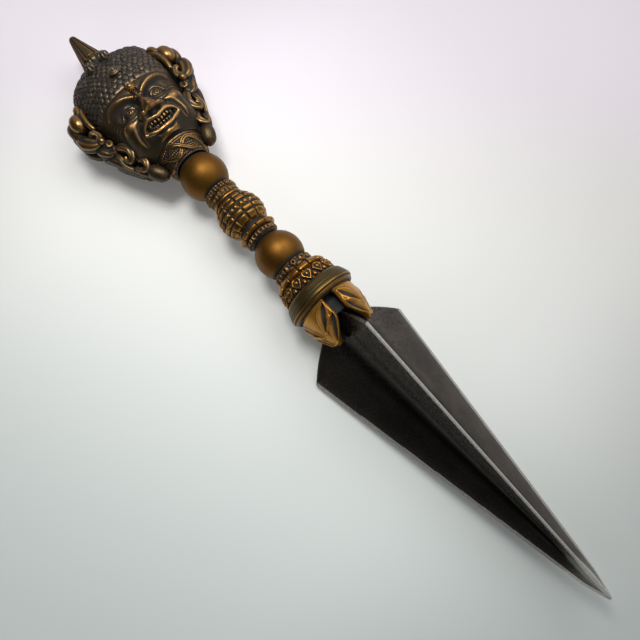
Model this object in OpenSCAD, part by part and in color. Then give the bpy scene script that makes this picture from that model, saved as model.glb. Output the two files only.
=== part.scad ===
// Ritual dagger (phurba), lying on its back: three-finned steel blade, cast bronze grip and head.
// Every piece is threaded on one steel tang and clamped between the blade and a nut under the horn.
// X runs from the horn to the blade's point, the face looks up along +Z, and the table is at Z = 0.

/* [Blade] */
// Length of the blade from its shoulder corners to its point
blade_len = 151; // [135:1:170]
// Radius from the axis to the edge of each fin at its shoulder corner
blade_r = 33; // [30:0.5:37]
// Length of the sloping shoulders, along the axis
shoulder_len = 15; // [12:0.5:18]
// Radius of the fins where the shoulders leave the socket
shoulder_r = 10.3; // [9:0.1:10.4]
// How far the shoulders bulge out from a straight line
shoulder_bulge = 1.6; // [0:0.1:2.5]
// Width of the blunt edge of each fin at its shoulder corner
edge_w = 1.9; // [1.2:0.1:2.4]
// Radius at the bottom of the hollow between two fins
root_r = 5.9; // [5.4:0.1:6.4]
// Length of the point, where the hollows run out
point_len = 35; // [30:1:45]
// Length of the rounded tip
tip_len = 14; // [10:0.5:18]
// Radius of the fins where the rounded tip begins
tip_start_r = 5.6; // [4.5:0.1:6.5]
// Radius of the round plug that enters the socket
plug_r = 5; // [4.4:0.1:5.6]
// Length of the plug
plug_len = 7.5; // [6.8:0.1:8.5]

/* [Socket and guard] */
// Radius of the socket core under the leaves
core_r = 10.5; // [10.5:0.1:11.5]
// Length of the socket core
core_len = 9.1; // [9:0.1:12]
// Radius of the leaves beside the guard
leaf_r = 15.6; // [14.8:0.1:16]
// Radius of the leaves at their tips
leaf_tip_r = 12.2; // [11.8:0.1:13.2]
// Length of each leaf from the guard to its tip
leaf_len = 19.8; // [17:0.1:21]
// Width of the gap over each fin, between two leaves
leaf_gap = 5.6; // [5:0.1:7]
// Radius of the cutter that sinks each almond flute
flute_r = 1.1; // [0.8:0.1:1.3]
// Radius of the guard at its crest
guard_r = 18.5; // [17.5:0.1:20]
// Length of the guard along the axis
guard_len = 9.6; // [8.5:0.1:12]
// Depth of the two grooves round the guard
guard_groove = 0.5; // [0.3:0.1:0.8]

/* [Grip rings and knobs] */
// Radius of the two round knobs
knob_r = 12.24; // [11.5:0.02:13]
// Length of the upper knob that shows between the neck and the beaded ring
upper_knob_len = 20.3; // [18:0.1:21]
// Length of the lower knob between the toothed ring and the drilled ring
lower_knob_len = 18.4; // [17:0.1:20]
// Radius of the flat where the upper knob meets the neck
neck_flat_r = 8.3; // [7.8:0.1:8.8]
// Radius of the flat where the lower knob meets the toothed ring
tooth_flat_r = 6.3; // [5.8:0.1:6.8]
// Radius of the beaded ring under the upper knob
beaded_r = 8.9; // [8.2:0.1:9.5]
// Length of the beaded ring
beaded_len = 3.4; // [3:0.1:4]
// Number of beads round the beaded ring
bead_count = 30; // [24:2:36]
// Radius of the rosette ring
rosette_r = 9; // [8.2:0.1:9.5]
// Length of the rosette ring
rosette_len = 3.5; // [3:0.1:4]
// Number of rosettes round the rosette ring
rosette_count = 22; // [16:2:24]
// Radius of the plain ring
plain_r = 8.7; // [8:0.1:9.5]
// Length of the plain ring
plain_len = 2.3; // [2:0.1:3]
// Radius of the barrel knob at its middle
barrel_r = 12; // [11.5:0.1:13]
// Radius of the barrel knob at its ends
barrel_end_r = 9; // [8.5:0.1:10]
// Length of the barrel knob
barrel_len = 17.3; // [15:0.1:20]
// Number of tile columns round the barrel knob
barrel_columns = 12; // [8:2:16]
// Radius of the ring of ridged segments
segment_r = 10.7; // [10:0.1:11.5]
// Length of the ring of ridged segments
segment_len = 5.2; // [4.5:0.1:6]
// Radius of the toothed ring
tooth_r = 9.35; // [9:0.05:10]
// Length of the toothed ring
tooth_len = 4.1; // [3.6:0.1:5]
// Radius of the drilled ring
drilled_r = 10.85; // [10.4:0.05:11.4]
// Length of the drilled ring
drilled_len = 4.7; // [4.3:0.1:5.5]
// Radius of the brick ring
brick_r = 14.5; // [13.5:0.1:15]
// Length of the brick ring
brick_len = 4.8; // [4.2:0.1:5.5]
// Radius of the petal ring
petal_r = 15.65; // [15:0.05:16.2]
// Length of the petal ring
petal_len = 6.3; // [5.8:0.1:7]
// Number of bricks and of petals round their rings
petal_count = 14; // [12:1:16]
// Number of segments, of pairs of teeth and of drilled bosses
segment_count = 12; // [10:1:14]
// Width of the grooves that part tiles, bricks and segments
groove_w = 0.5; // [0.3:0.05:0.7]

/* [Head] */
// Length of the head from its crown to the end of the neck
head_len = 79; // [72:1:86]
// Half width of the head across the cap
head_half_w = 25; // [23.5:0.5:26.5]
// Half width of the head across the jaw
jaw_half_w = 20.5; // [19:0.5:22]
// Height of the face above the axis, without its nose
face_h = 20.5; // [19:0.5:22]
// Radius of the neck under its knot collar
neck_r = 12.7; // [12:0.1:13.4]
// Radius of the neck where it meets the upper knob
neck_end_r = 9.8; // [9:0.1:11]
// Thickness of the cast cap, face and hair shells
shell_t = 2.5; // [2:0.1:3]
// Length of the cap in front, from the crown to the brow
cap_len = 35; // [32:1:38]
// Height of the nose above the face
nose_h = 4.2; // [3:0.1:5.5]
// Distance from the crown to the first curl of each wing
wing_start = 13.7; // [12:0.1:15]
// Distance from the end of each wing to the end of the neck
wing_gap = 1.8; // [1:0.1:3]
// How far each wing stands out beyond the cap
wing_out = 12; // [10:0.5:14]
// Thickness of each wing
wing_t = 12; // [10:0.5:14]
// How much further down the top of the right wing sits, as cast
wing_skew = 3; // [0:0.25:3.5]
// How far the head leans to its left for each millimetre of its width, as cast
head_lean = 0.06; // [0:0.01:0.08]
// Length of the knot collar round the neck
knot_len = 9; // [7:0.5:10]
// Radius of each strand of the knot
strand_r = 0.95; // [0.7:0.05:1.1]
// Thickness of the sleeve under the strands
sleeve_t = 0.9; // [0.7:0.05:1.2]
// How far the strands' line stands off the sleeve
strand_lift = 0.57; // [0.4:0.01:0.7]
// How far each strand rises over the other, and dips under it
strand_rise = 0.3; // [0.2:0.05:0.5]
// Distance from the strands to each end of the collar
knot_margin = 0.6; // [0.4:0.1:1]
// Number of crossings round the knot
knot_crossings = 8; // [8:2:14]
// Radius of the boss between the head and the horn
boss_r = 7.4; // [7:0.1:8.5]
// Length of the boss
boss_len = 4; // [3:0.1:5]
// Radius of the bead on the forehead
jewel_r = 2.1; // [1.6:0.1:2.6]
// Radius of the coil on the cap
coil_r = 3.4; // [2.8:0.1:4]
// Radius of each of the two lobes on the crown
lobe_r = 3.2; // [2.6:0.1:3.8]
// Length of the horn
horn_len = 22; // [18:0.5:28]
// Radius of the horn at its base
horn_r = 7.1; // [6.8:0.1:7.2]
// Number of flutes along the horn
horn_flutes = 8; // [5:1:9]

/* [Tang and fasteners] */
// Radius of the steel tang
tang_r = 2.5; // [2:0.1:2.8]
// How far the tang reaches into the blade
tang_in_blade = 10; // [9:0.5:14]
// How far the tang reaches into the horn
tang_in_horn = 10; // [7:0.5:12]
// Size of the tang nut across its flats
nut_flats = 8; // [7:0.1:8.4]
// Height of the tang nut
nut_len = 4; // [3:0.1:4.5]
// Radius of the washer under the nut
washer_r = 5; // [4.9:0.05:5.2]
// Thickness of the washer
washer_t = 1; // [0.8:0.1:1.4]
// Radius of the two cross pins
pin_r = 1.25; // [1:0.05:1.4]
// Clearance of every piece round the tang, and of each pin in its hole
fit = 0.05; // [0.02:0.01:0.08]
// Gap left between cast surfaces that lie on each other
seat = 0.12; // [0.08:0.02:0.2]

/* [Hidden] */
round_fn = 96;
eps = 0.01;

// Places along the axis, from the horn's tip
x_boss = horn_len;
x_head = x_boss + boss_len;
x_neck = x_head + head_len;
x_beaded = x_neck + upper_knob_len;
x_rosette = x_beaded + beaded_len;
x_plain = x_rosette + rosette_len;
x_barrel = x_plain + plain_len;
x_segment = x_barrel + barrel_len;
x_tooth = x_segment + segment_len;
x_lower_knob = x_tooth + tooth_len;
x_drilled = x_lower_knob + lower_knob_len;
x_brick = x_drilled + drilled_len;
x_petal = x_brick + brick_len;
x_guard = x_petal + petal_len;
x_socket = x_guard + guard_len;
x_blade = x_socket + core_len;
x_corner = x_blade + shoulder_len;
total_len = x_corner + blade_len;

// The dagger rests on its guard and on the back of its head, with the fin corners just clear
axis_h = max(guard_r, blade_r * cos(60) + edge_w / 2 * sin(60));

bronze = "#7a5a2c";
dark_bronze = "#4f4230";
steel = "#4a4644";

// Lays the dagger down from its own axis, with its box centred on the origin
module lay() {
    translate([-total_len / 2, 0, axis_h]) children();
}

// Turns a profile of [radius, x] points round the axis
module turned(profile) {
    rotate([0, 90, 0]) rotate_extrude($fn = round_fn) polygon(profile);
}

// A bore or rod on the axis, from one place to another
module axial(r, from, to) {
    translate([from, 0, 0]) rotate([0, 90, 0]) cylinder(r = r, h = to - from, $fn = round_fn);
}

// A cone round the axis, from one place and radius to another
module axial_cone(from_r, to_r, from, to) {
    translate([from, 0, 0]) rotate([0, 90, 0]) cylinder(r1 = from_r, r2 = to_r, h = to - from, $fn = round_fn);
}

// The hole that every threaded piece has for the tang
module tang_bore(from, to) {
    axial(tang_r + fit, from - 1, to + 1);
}

// Copies a shape that points up to n places round the axis
module around(n, first = 0) {
    for (i = [0:n - 1]) rotate([-(first + 360 * i / n), 0, 0]) children();
}

// A round rod between two points
module rod_between(p, q, r) {
    d = q - p;
    translate(p) rotate([0, acos(d.z / norm(d)), atan2(d.y, d.x)])
        cylinder(r = r, h = norm(d), $fn = 48);
}

function middle(ring) = [for (k = [0:2]) [for (p = ring) p[k]] * [for (p = ring) 1] / len(ring)];
function smooth(t) = let(s = min(1, max(0, t))) s * s * (3 - 2 * s);
function mix(a, b, t) = a + (b - a) * t;
function hill(d, width) = exp(-d * d / (width * width));

// A closed skin through rings of points, each round the one before it, with fan ends
module loft(rings) {
    n = len(rings[0]);
    m = len(rings);
    sides = [
        for (j = [0:m - 2], i = [0:n - 1])
            let(a = j * n + i, b = j * n + (i + 1) % n)
            each [[a, b + n, a + n], [a, b, b + n]],
    ];
    ends = [
        for (i = [0:n - 1])
            each [
                [m * n, (i + 1) % n, i],
                [m * n + 1, (m - 1) * n + i, (m - 1) * n + (i + 1) % n],
            ],
    ];
    polyhedron(
        points = concat(
            [for (ring = rings) each ring],
            [middle(rings[0]), middle(rings[m - 1])]
        ),
        faces = concat(sides, ends)
    );
}

// The same for a curved plate: each ring is an outer row and then the inner row, run backwards
module plate_loft(rings) {
    n = len(rings[0]);
    m = len(rings);
    sides = [
        for (j = [0:m - 2], i = [0:n - 1])
            let(a = j * n + i, b = j * n + (i + 1) % n)
            each [[a, b + n, a + n], [a, b, b + n]],
    ];
    last = (m - 1) * n;
    ends = [
        for (i = [0:n / 2 - 2])
            let(j = n - 1 - i)
            each [
                [i, j - 1, i + 1],
                [i, j, j - 1],
                [last + i, last + i + 1, last + j - 1],
                [last + i, last + j - 1, last + j],
            ],
    ];
    polyhedron(points = [for (ring = rings) each ring], faces = concat(sides, ends));
}

// A closed skin whose last ring meets its first
module ring_loft(rings) {
    n = len(rings[0]);
    m = len(rings);
    polyhedron(
        points = [for (ring = rings) each ring],
        faces = [
            for (j = [0:m - 1], i = [0:n - 1])
                let(
                    a = j * n + i,
                    b = j * n + (i + 1) % n,
                    c = (j + 1) % m * n + (i + 1) % n,
                    d = (j + 1) % m * n + i
                )
                each [[a, c, b], [a, d, c]],
        ]
    );
}

// Blade: half thickness of a fin, as a curve from its edge to the bottom of the hollow
function fin_edge_half(r) = edge_w / 2 * mix(0.35, 1, r / blade_r);
function flank(r, root, extra, t) =
    let(
        edge = [r + extra, fin_edge_half(r) + extra],
        hollow = [0.3 * r, fin_edge_half(r) * 1.7 + extra],
        bottom = (root + extra) * [cos(60), sin(60)]
    )
    (1 - t) * (1 - t) * edge + 2 * t * (1 - t) * hollow + t * t * bottom;
function turn2(p, angle) = [
    p.x * cos(angle) - p.y * sin(angle),
    p.x * sin(angle) + p.y * cos(angle),
];
// The blade's section as [height, side] points, one fin up
function section(r, root, extra = 0, steps = 7) = [
    for (fin = [0:2]) each concat(
        [for (i = [steps - 1:-1:0])
            let(p = flank(r, root, extra, i / steps)) turn2([p.x, -p.y], 120 * fin)],
        [for (i = [0:steps]) turn2(flank(r, root, extra, i / steps), 120 * fin)]
    ),
];
tip_end_r = 0.7;
blade_taper = (blade_r - tip_start_r) / (blade_len - tip_len);
function blade_radius(x) =
    let(s = x - x_corner)
    s < 0
        ? mix(shoulder_r, blade_r, 1 + s / shoulder_len)
            + shoulder_bulge * sin(-180 * s / shoulder_len)
        : min(
            blade_r - blade_taper * s,
            mix(tip_start_r, tip_end_r, pow(max(0, s - blade_len + tip_len) / tip_len, 1.25))
                + max(0, blade_len - tip_len - s)
        );
function root_radius(x) =
    let(r = blade_radius(x), end = x_corner + blade_len)
    x < x_corner
        ? root_r
        : r * mix(root_r / blade_r, 0.46, smooth((x - end + point_len) / (point_len - 8)));
blade_stations = concat(
    [for (i = [0:6]) x_blade + shoulder_len * i / 6],
    [for (i = [1:7]) x_corner + (blade_len - point_len) * i / 7],
    [for (i = [1:14]) x_corner + blade_len - point_len * (1 - i / 14)]
);

module blade() {
    color(steel) lay() difference() {
        union() {
            loft([for (x = blade_stations) [
                for (p = section(blade_radius(x), root_radius(x))) [x, p.y, p.x],
            ]]);
            axial(plug_r, x_blade - plug_len, x_blade + 1);
        }
        axial(tang_r + fit, x_blade - plug_len - 1, x_blade - plug_len + tang_in_blade);
        socket_pin_hole();
    }
}

// Socket and leaves
pin_x = x_blade - core_len / 2;
module socket_pin_hole() {
    translate([pin_x, 0, 0]) rotate([90, 0, 0])
        cylinder(r = pin_r + fit, h = 4 * core_r, center = true, $fn = 48);
}

module socket_core() {
    color(dark_bronze) lay() difference() {
        axial(core_r, x_socket, x_blade);
        tang_bore(x_socket, x_blade);
        axial(plug_r + fit, x_blade - plug_len - fit, x_blade + 1);
        socket_pin_hole();
    }
}

leaf_bend = x_blade - 1;
leaf_end = x_socket + leaf_len;
leaf_half_w = leaf_r * sin(60 - asin(leaf_gap / 2 / leaf_r));
leaf_tip_w = 0.8;
// The space of one leaf, between the planes that face its two fins
module leaf_wedge() {
    apex = leaf_gap / 2 / sin(60);
    reach = 2 * leaf_r;
    translate([x_socket, 0, 0]) rotate([90, 0, 90]) linear_extrude(height = 2 * leaf_len)
        polygon([
            [0, apex], [reach * sin(60), apex + reach * cos(60)], [0, 2 * reach],
            [-reach * sin(60), apex + reach * cos(60)],
        ]);
}

// One leaf, centred over the hollow between two fins
module leaf(angle) {
    reach = leaf_end - leaf_bend;
    color(bronze) lay() difference() {
        rotate([-angle, 0, 0]) difference() {
            intersection() {
                turned([
                    [core_r, x_socket], [leaf_r - 0.5, x_socket], [leaf_r, x_socket + 0.8],
                    [leaf_r - 0.1, x_socket + 0.35 * leaf_len],
                    [mix(leaf_r, leaf_tip_r, 0.35), x_socket + 0.62 * leaf_len],
                    [mix(leaf_r, leaf_tip_r, 0.72), x_socket + 0.86 * leaf_len],
                    [leaf_tip_r, leaf_end - 0.5], [leaf_tip_r - 0.7, leaf_end],
                    [root_r + seat, leaf_end], [root_r + seat, x_blade], [core_r, x_blade],
                ]);
                linear_extrude(height = 2 * leaf_r) polygon([
                    for (side = [-1, 1], i = [0:8])
                        let(j = side < 0 ? i : 8 - i, t = j / 8)
                        [
                            leaf_bend + reach * t,
                            side * mix(leaf_half_w, leaf_tip_w, smooth(t) * 0.6 + t * 0.4),
                        ],
                    [x_socket - 1, leaf_half_w],
                    [x_socket - 1, -leaf_half_w],
                ]);
                leaf_wedge();
            }
            for (side = [-1, 1], start = [0.1, 0.4]) leaf_flute(side, start);
        }
        hollow_star();
    }
}

// An almond flute that runs from the margin beside the fin to the middle of the leaf
module leaf_flute(side, start) {
    x1 = x_socket + start * leaf_len;
    x2 = x1 + 0.5 * leaf_len;
    r2 = mix(leaf_r, leaf_tip_r, start + 0.3);
    lift = flute_r - 0.1;
    p = [x1, side * (leaf_r + lift) * sin(44), (leaf_r + lift) * cos(44)];
    q = [x2, side * (r2 + lift) * sin(7), (r2 + lift) * cos(7)];
    rod_between(p, q, flute_r);
}

// The blade's section at the leaves' tips, cut through the leaves with a little room
module hollow_star() {
    reach_r = blade_radius(leaf_end);
    translate([x_blade - eps, 0, 0]) rotate([0, 90, 0]) linear_extrude(height = leaf_len)
        polygon([for (p = section(reach_r, root_r, seat)) [-p.x, p.y]]);
}

module socket_pin() {
    color(steel) lay() translate([pin_x, 0, 0]) rotate([90, 0, 0])
        cylinder(r = pin_r, h = 2 * (core_r - 0.4), center = true, $fn = 48);
}

// Guard: a bell whose crest is near the blade, with two grooves round it
module guard() {
    crest = x_guard + 0.68 * guard_len;
    color(bronze) lay()
        turned([
            [tang_r + fit, x_guard], [guard_r - 3, x_guard], [guard_r - 2.1, x_guard + 0.5],
            [guard_r - 1.5, x_guard + 0.15 * guard_len], [guard_r - 0.5, x_guard + 0.4 * guard_len],
            [guard_r - 0.35, crest - 2], [guard_r - 0.35 - guard_groove, crest - 1.6],
            [guard_r - 0.1, crest - 1.1], [guard_r, crest - 0.4], [guard_r, crest + 0.2],
            [guard_r - 0.3, crest + 0.7], [guard_r - 0.4 - guard_groove, crest + 1],
            [guard_r - 0.9, crest + 1.4], [guard_r - 1.6, crest + 2.1],
            [guard_r - 2.6, x_socket], [tang_r + fit, x_socket],
        ]);
}

// Petal ring: a row of pointed petals with a bead on each, and a small bead between two tips
module petal_ring() {
    base_r = petal_r - 1.7;
    tip_x = petal_len - 0.4;
    petal_w = 3.1;
    color(dark_bronze) lay() translate([x_petal, 0, 0]) {
        turned([
            [tang_r + fit, 0], [base_r - 1, 0], [base_r, 0.8], [base_r, petal_len],
            [tang_r + fit, petal_len],
        ]);
        intersection() {
            turned([
                [base_r - 0.5, 0.3], [petal_r - 1.2, 0.3], [petal_r - 0.3, 1.6],
                [petal_r, 3.2], [petal_r, petal_len - 0.3], [base_r - 0.5, petal_len - 0.3],
            ]);
            around(petal_count) linear_extrude(height = 2 * petal_r) polygon([
                [0.4, -petal_w * 0.55], [1.2, -petal_w * 0.9], [2.4, -petal_w],
                [3.6, -petal_w * 0.8], [tip_x, 0],
                [3.6, petal_w * 0.8], [2.4, petal_w], [1.2, petal_w * 0.9], [0.4, petal_w * 0.55],
            ]);
        }
        around(petal_count) translate([2.5, 0, petal_r - 0.1]) sphere(r = 0.75, $fn = 24);
        around(petal_count, 180 / petal_count)
            translate([petal_len - 1.3, 0, base_r + 0.4]) sphere(r = 1.05, $fn = 24);
    }
}

// Brick ring: a cone of bricks parted by grooves
module brick_ring() {
    color(bronze) lay() translate([x_brick, 0, 0]) difference() {
        turned([
            [tang_r + fit, 0], [drilled_r, 0], [brick_r - 1.2, 1.3], [brick_r - 0.2, 2.6],
            [brick_r, 3.4], [brick_r - 0.3, brick_len - 0.9], [brick_r - 0.9, brick_len],
            [tang_r + fit, brick_len],
        ]);
        around(petal_count, 90 / petal_count) translate([0.8, -groove_w / 2, brick_r - 1.1])
            cube([brick_len - 1.2, groove_w, 3]);
    }
}

// Drilled ring: small round bosses, each with a hole
module drilled_ring() {
    boss_x = drilled_len / 2;
    color(dark_bronze) lay() translate([x_drilled, 0, 0]) difference() {
        union() {
            turned([
                [tang_r + fit, 0], [drilled_r - 1.4, 0], [drilled_r - 0.7, 0.8],
                [drilled_r - 0.5, boss_x], [drilled_r - 0.5, drilled_len - 0.8],
                [drilled_r - 0.9, drilled_len], [tang_r + fit, drilled_len],
            ]);
            around(segment_count) translate([boss_x, 0, drilled_r - 2])
                cylinder(r = 1.75, h = 2, $fn = 32);
        }
        around(segment_count) translate([boss_x, 0, drilled_r - 1])
            cylinder(r = 0.7, h = 2, $fn = 24);
    }
}

// A ball knob cut flat where its neighbours seat, centred by the radius of its first flat
module ball_knob(x, length, first_r) {
    cx = x + sqrt(knob_r * knob_r - first_r * first_r);
    intersection() {
        difference() {
            translate([cx, 0, 0]) sphere(r = knob_r, $fn = round_fn);
            tang_bore(x, x + length);
        }
        axial(knob_r + 1, x, x + length);
    }
}

module lower_knob() {
    color(bronze) lay() ball_knob(x_lower_knob, lower_knob_len, tooth_flat_r);
}

module upper_knob() {
    color(bronze) lay() ball_knob(x_neck, upper_knob_len, neck_flat_r);
}

// Toothed ring: pairs of teeth, with a wider gap between pairs
module toothed_ring() {
    pitch = 360 / segment_count;
    tooth_ball_r = 0.9;
    color(dark_bronze) lay() translate([x_tooth, 0, 0]) {
        turned([
            [tang_r + fit, 0], [tooth_r - 0.9, 0], [tooth_r - 0.5, 0.6],
            [tooth_r - 0.6, tooth_len - 1.3], [tooth_r - 1.6, tooth_len], [tang_r + fit, tooth_len],
        ]);
        for (side = [-1, 1]) around(segment_count, side * pitch * 0.23)
            translate([tooth_len * 0.4, 0, tooth_r - tooth_ball_r]) sphere(r = tooth_ball_r, $fn = 24);
    }
}

// Ring of ridged segments parted by grooves
module segment_ring() {
    ridge_x = segment_len * 0.66;
    color(bronze) lay() translate([x_segment, 0, 0]) difference() {
        turned([
            [tang_r + fit, 0], [barrel_end_r - 0.6, 0], [barrel_end_r - 0.8, 0.6],
            [segment_r - 1.2, 1.5], [segment_r - 0.3, ridge_x - 0.8], [segment_r, ridge_x],
            [segment_r - 0.5, ridge_x + 0.7], [tooth_r - 0.2, segment_len],
            [tang_r + fit, segment_len],
        ]);
        around(segment_count) translate([1.2, -groove_w / 2, segment_r - 0.7])
            cube([segment_len - 1.6, groove_w, 3]);
    }
}

// Barrel knob: bands and columns of tiles, with a row of paired studs round the middle
barrel_bands = [0.2, 0.38, 0.58, 0.75];
barrel_rise = barrel_r - barrel_end_r;
barrel_arc = (pow(barrel_len / 2, 2) + barrel_rise * barrel_rise) / (2 * barrel_rise);
function barrel_at(t) =
    barrel_r - barrel_arc + sqrt(pow(barrel_arc, 2) - pow(barrel_len * (t - 0.5), 2));
module barrel_profile(grow) {
    intersection() {
        translate([barrel_r - barrel_arc, barrel_len / 2]) circle(r = barrel_arc + grow, $fn = 192);
        translate([tang_r + fit, 0]) square([barrel_r + 2, barrel_len]);
    }
}
module barrel_knob() {
    cut = groove_w;
    pitch = 360 / barrel_columns;
    color(bronze) lay() translate([x_barrel, 0, 0]) difference() {
        union() {
            difference() {
                rotate([0, 90, 0]) rotate_extrude($fn = round_fn) barrel_profile(0);
                for (t = barrel_bands) turned([
                    [barrel_at(t) - cut, barrel_len * t],
                    [barrel_at(t) + 1, barrel_len * t - groove_w * 1.5],
                    [barrel_at(t) + 1, barrel_len * t + groove_w * 1.5],
                ]);
                around(barrel_columns) translate([0, groove_w / 2, 0]) rotate([90, 0, 0])
                    linear_extrude(height = groove_w) difference() {
                        translate([-1, barrel_end_r / 2]) square([barrel_len + 2, barrel_r]);
                        translate([barrel_len / 2, barrel_r - barrel_arc])
                            circle(r = barrel_arc - cut, $fn = 192);
                    }
            }
            for (side = [-1, 1]) around(barrel_columns, pitch / 2 + side * pitch * 0.2)
                translate([barrel_len * 0.48, 0, barrel_at(0.48) - 0.3]) sphere(r = 0.85, $fn = 24);
        }
    }
}

module plain_ring() {
    color(bronze) lay() translate([x_plain, 0, 0]) turned([
        [tang_r + fit, 0], [plain_r - 0.4, 0], [plain_r, plain_len * 0.35],
        [plain_r, plain_len * 0.7], [plain_r - 0.3, plain_len], [tang_r + fit, plain_len],
    ]);
}

// A band with a row of balls half sunk in it
module ball_band(x, length, r, count, ball_r, at) {
    translate([x, 0, 0]) {
        turned([
            [tang_r + fit, 0], [r - 0.8, 0], [r - 0.5, length * 0.25], [r - 0.5, length * 0.75],
            [r - 0.8, length], [tang_r + fit, length],
        ]);
        around(count) translate([length * at, 0, r - ball_r]) sphere(r = ball_r, $fn = 24);
    }
}

module rosette_ring() {
    color(dark_bronze) lay()
        ball_band(x_rosette, rosette_len, rosette_r, rosette_count, 1.05, 0.5);
}

module beaded_ring() {
    color(dark_bronze) lay() ball_band(x_beaded, beaded_len, beaded_r, bead_count, 0.85, 0.6);
}

// Head form: half width, front height and back depth at a share u of the head's length
crown_r = boss_r - 0.9;
function head_side(u) = u < 0.18
    ? max(crown_r, head_half_w * pow(max(0, 1 - pow((0.18 - u) / 0.17, 2.3)), 1 / 2.3))
    : mix(mix(head_half_w, jaw_half_w, smooth((u - 0.3) / 0.4)), neck_r, smooth((u - 0.76) / 0.16));
function head_front(u) = u < 0.42
    ? mix(crown_r, face_h, 1 - pow(1 - u / 0.42, 1.8))
    : mix(face_h, neck_r, smooth((u - 0.72) / 0.18));
function head_back(u) = u < 0.25
    ? mix(crown_r, axis_h, sqrt(1 - pow(1 - u / 0.25, 2)))
    : mix(axis_h, neck_r, smooth((u - 0.55) / 0.35));
// Radius of the head at a share u and an angle from straight up
function head_r(u, angle) =
    let(
        front = cos(angle) > 0,
        full = front ? mix(2.15, 2.4, smooth((u - 0.2) / 0.25)) : 2.8,
        n = mix(full, 2, smooth((u - 0.6) / 0.3)),
        h = front ? head_front(u) : head_back(u),
        w = head_side(u)
    )
    pow(pow(abs(sin(angle)) / w, n) + pow(abs(cos(angle)) / h, n), -1 / n);
function lean_at(u) = head_lean * smooth(u / 0.12) * max(0, 1 - u);
function head_point(u, angle, r) = [
    x_head + head_len * u - lean_at(u) * r * sin(angle),
    r * sin(angle),
    r * cos(angle),
];
cap_u = cap_len / head_len;
chin_u = 0.87;
face_angle = 75;

// Face: raised nose, brows, eyes, cheeks, lips and chin on the head form, on even proportions
function relief(u, angle) =
    let(
        y = head_half_w * sin(angle) * cos(angle / 2),
        d = head_len * (u - cap_u),
        s = abs(y)
    )
    nose_h * hill(s, mix(1.8, 4.2, smooth((d - 5) / 11))) * smooth((d - 5) / 11)
        * (1 - smooth((d - 16) / 3.5))
        + 2.2 * hill(d - 5.5 + 0.35 * s, 2) * smooth((s - 2.6) / 3) * (1 - smooth((s - 15) / 4))
        - 1.5 * hill(d - 8.5, 2.6) * hill(s - 8.5, 4.5)
        + 1.7 * hill(d - 9, 1.9) * hill(s - 8.5, 3.2)
        + 1.8 * hill(d - 16, 5) * hill(s - 12, 4.5)
        + 1.6 * hill(d - 22, 3.6) * hill(s, 9)
        - 1.8 * hill(d - 22.2, 1.3) * hill(s, 6.5)
        + 1.6 * hill(d - 29, 3) * hill(s, 6);

// A curved plate of the head, between two shares and two angles
module head_plate(u0, u1, a0, a1, rows, columns, raised) {
    plate_loft([
        for (j = [0:rows])
            let(u = mix(u0, u1, j / rows))
            concat(
                [for (i = [0:columns])
                    let(a = mix(a0, a1, i / columns))
                    head_point(u, a, head_r(u, a) + raised * faded_relief(u, a, j / rows, i / columns))],
                [for (i = [columns:-1:0])
                    let(a = mix(a0, a1, i / columns))
                    head_point(u, a, head_r(u, a) - shell_t + seat)]
            ),
    ]);
}
function faded_relief(u, angle, v, w) =
    relief(u, angle) * smooth(v * 9) * smooth((1 - v) * 9) * smooth(w * 9) * smooth((1 - w) * 9);

module face() {
    color(bronze) lay()
        head_plate(cap_u, chin_u, -face_angle, face_angle, 26, 36, 1);
}

module back_hair() {
    color(dark_bronze) lay()
        head_plate(cap_u, chin_u, face_angle + 0.5, 359.5 - face_angle, 14, 26, 0);
}

module cap() {
    rows = 16;
    columns = 40;
    wall_u = shell_t / head_len;
    color(dark_bronze) lay() ring_loft([
        for (i = [0:columns - 1])
            let(a = 360 * i / columns)
            concat(
                [for (j = [0:rows]) let(u = cap_share(0, j / rows)) head_point(u, a, head_r(u, a))],
                [for (j = [rows:-1:0])
                    let(u = cap_share(wall_u, j / rows))
                    head_point(u, a, head_r(u, a) - shell_t + seat)],
                [head_point(wall_u, a, nut_room), head_point(0, a, nut_room)]
            ),
    ]);
}
nut_room = nut_flats / 2 / cos(30) + 0.6;
function cap_share(first, t) = mix(first, cap_u - 0.15 / head_len, mix(t * t, t, 0.45));

// The head's inner casting and neck, which the shells are seated on
module head_core() {
    stations = 26;
    first_u = 0.04;
    color(dark_bronze) lay() difference() {
        union() {
            loft([
                for (j = [0:stations])
                    let(u = mix(first_u, chin_u + 0.01, j / stations))
                    [for (i = [0:47]) let(a = 7.5 * i) head_point(u, a, head_r(u, a) - shell_t - seat / 2)],
            ]);
            axial(neck_r, x_head + head_len * chin_u + 2 * seat, x_neck - knot_len);
            neck_cone(0, 0);
        }
        tang_bore(x_head, x_neck);
        axial(nut_room, x_head - 1, nut_seat);
        head_pin_hole();
    }
}

// The neck narrows under the knot collar, toward the upper knob
neck_slope = (neck_r - neck_end_r) / knot_len;
function neck_at(x) = neck_r - neck_slope * (x - x_neck + knot_len);
module neck_cone(room, past) {
    first = x_neck - knot_len - past;
    last = x_neck + past;
    axial_cone(neck_at(first) + room, neck_at(last) + room, first, last);
}

nut_seat = x_head + washer_t + nut_len + 3;
head_pin_x = x_neck - knot_len / 2;
module head_pin_hole() {
    translate([head_pin_x, 0, 0]) rotate([90, 0, 0])
        cylinder(r = pin_r + fit, h = 4 * neck_r, center = true, $fn = 48);
}

module head_pin() {
    color(steel) lay() translate([head_pin_x, 0, 0]) rotate([90, 0, 0])
        cylinder(r = pin_r, h = 2 * (neck_at(head_pin_x + pin_r) - 0.1), center = true, $fn = 48);
}

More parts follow.
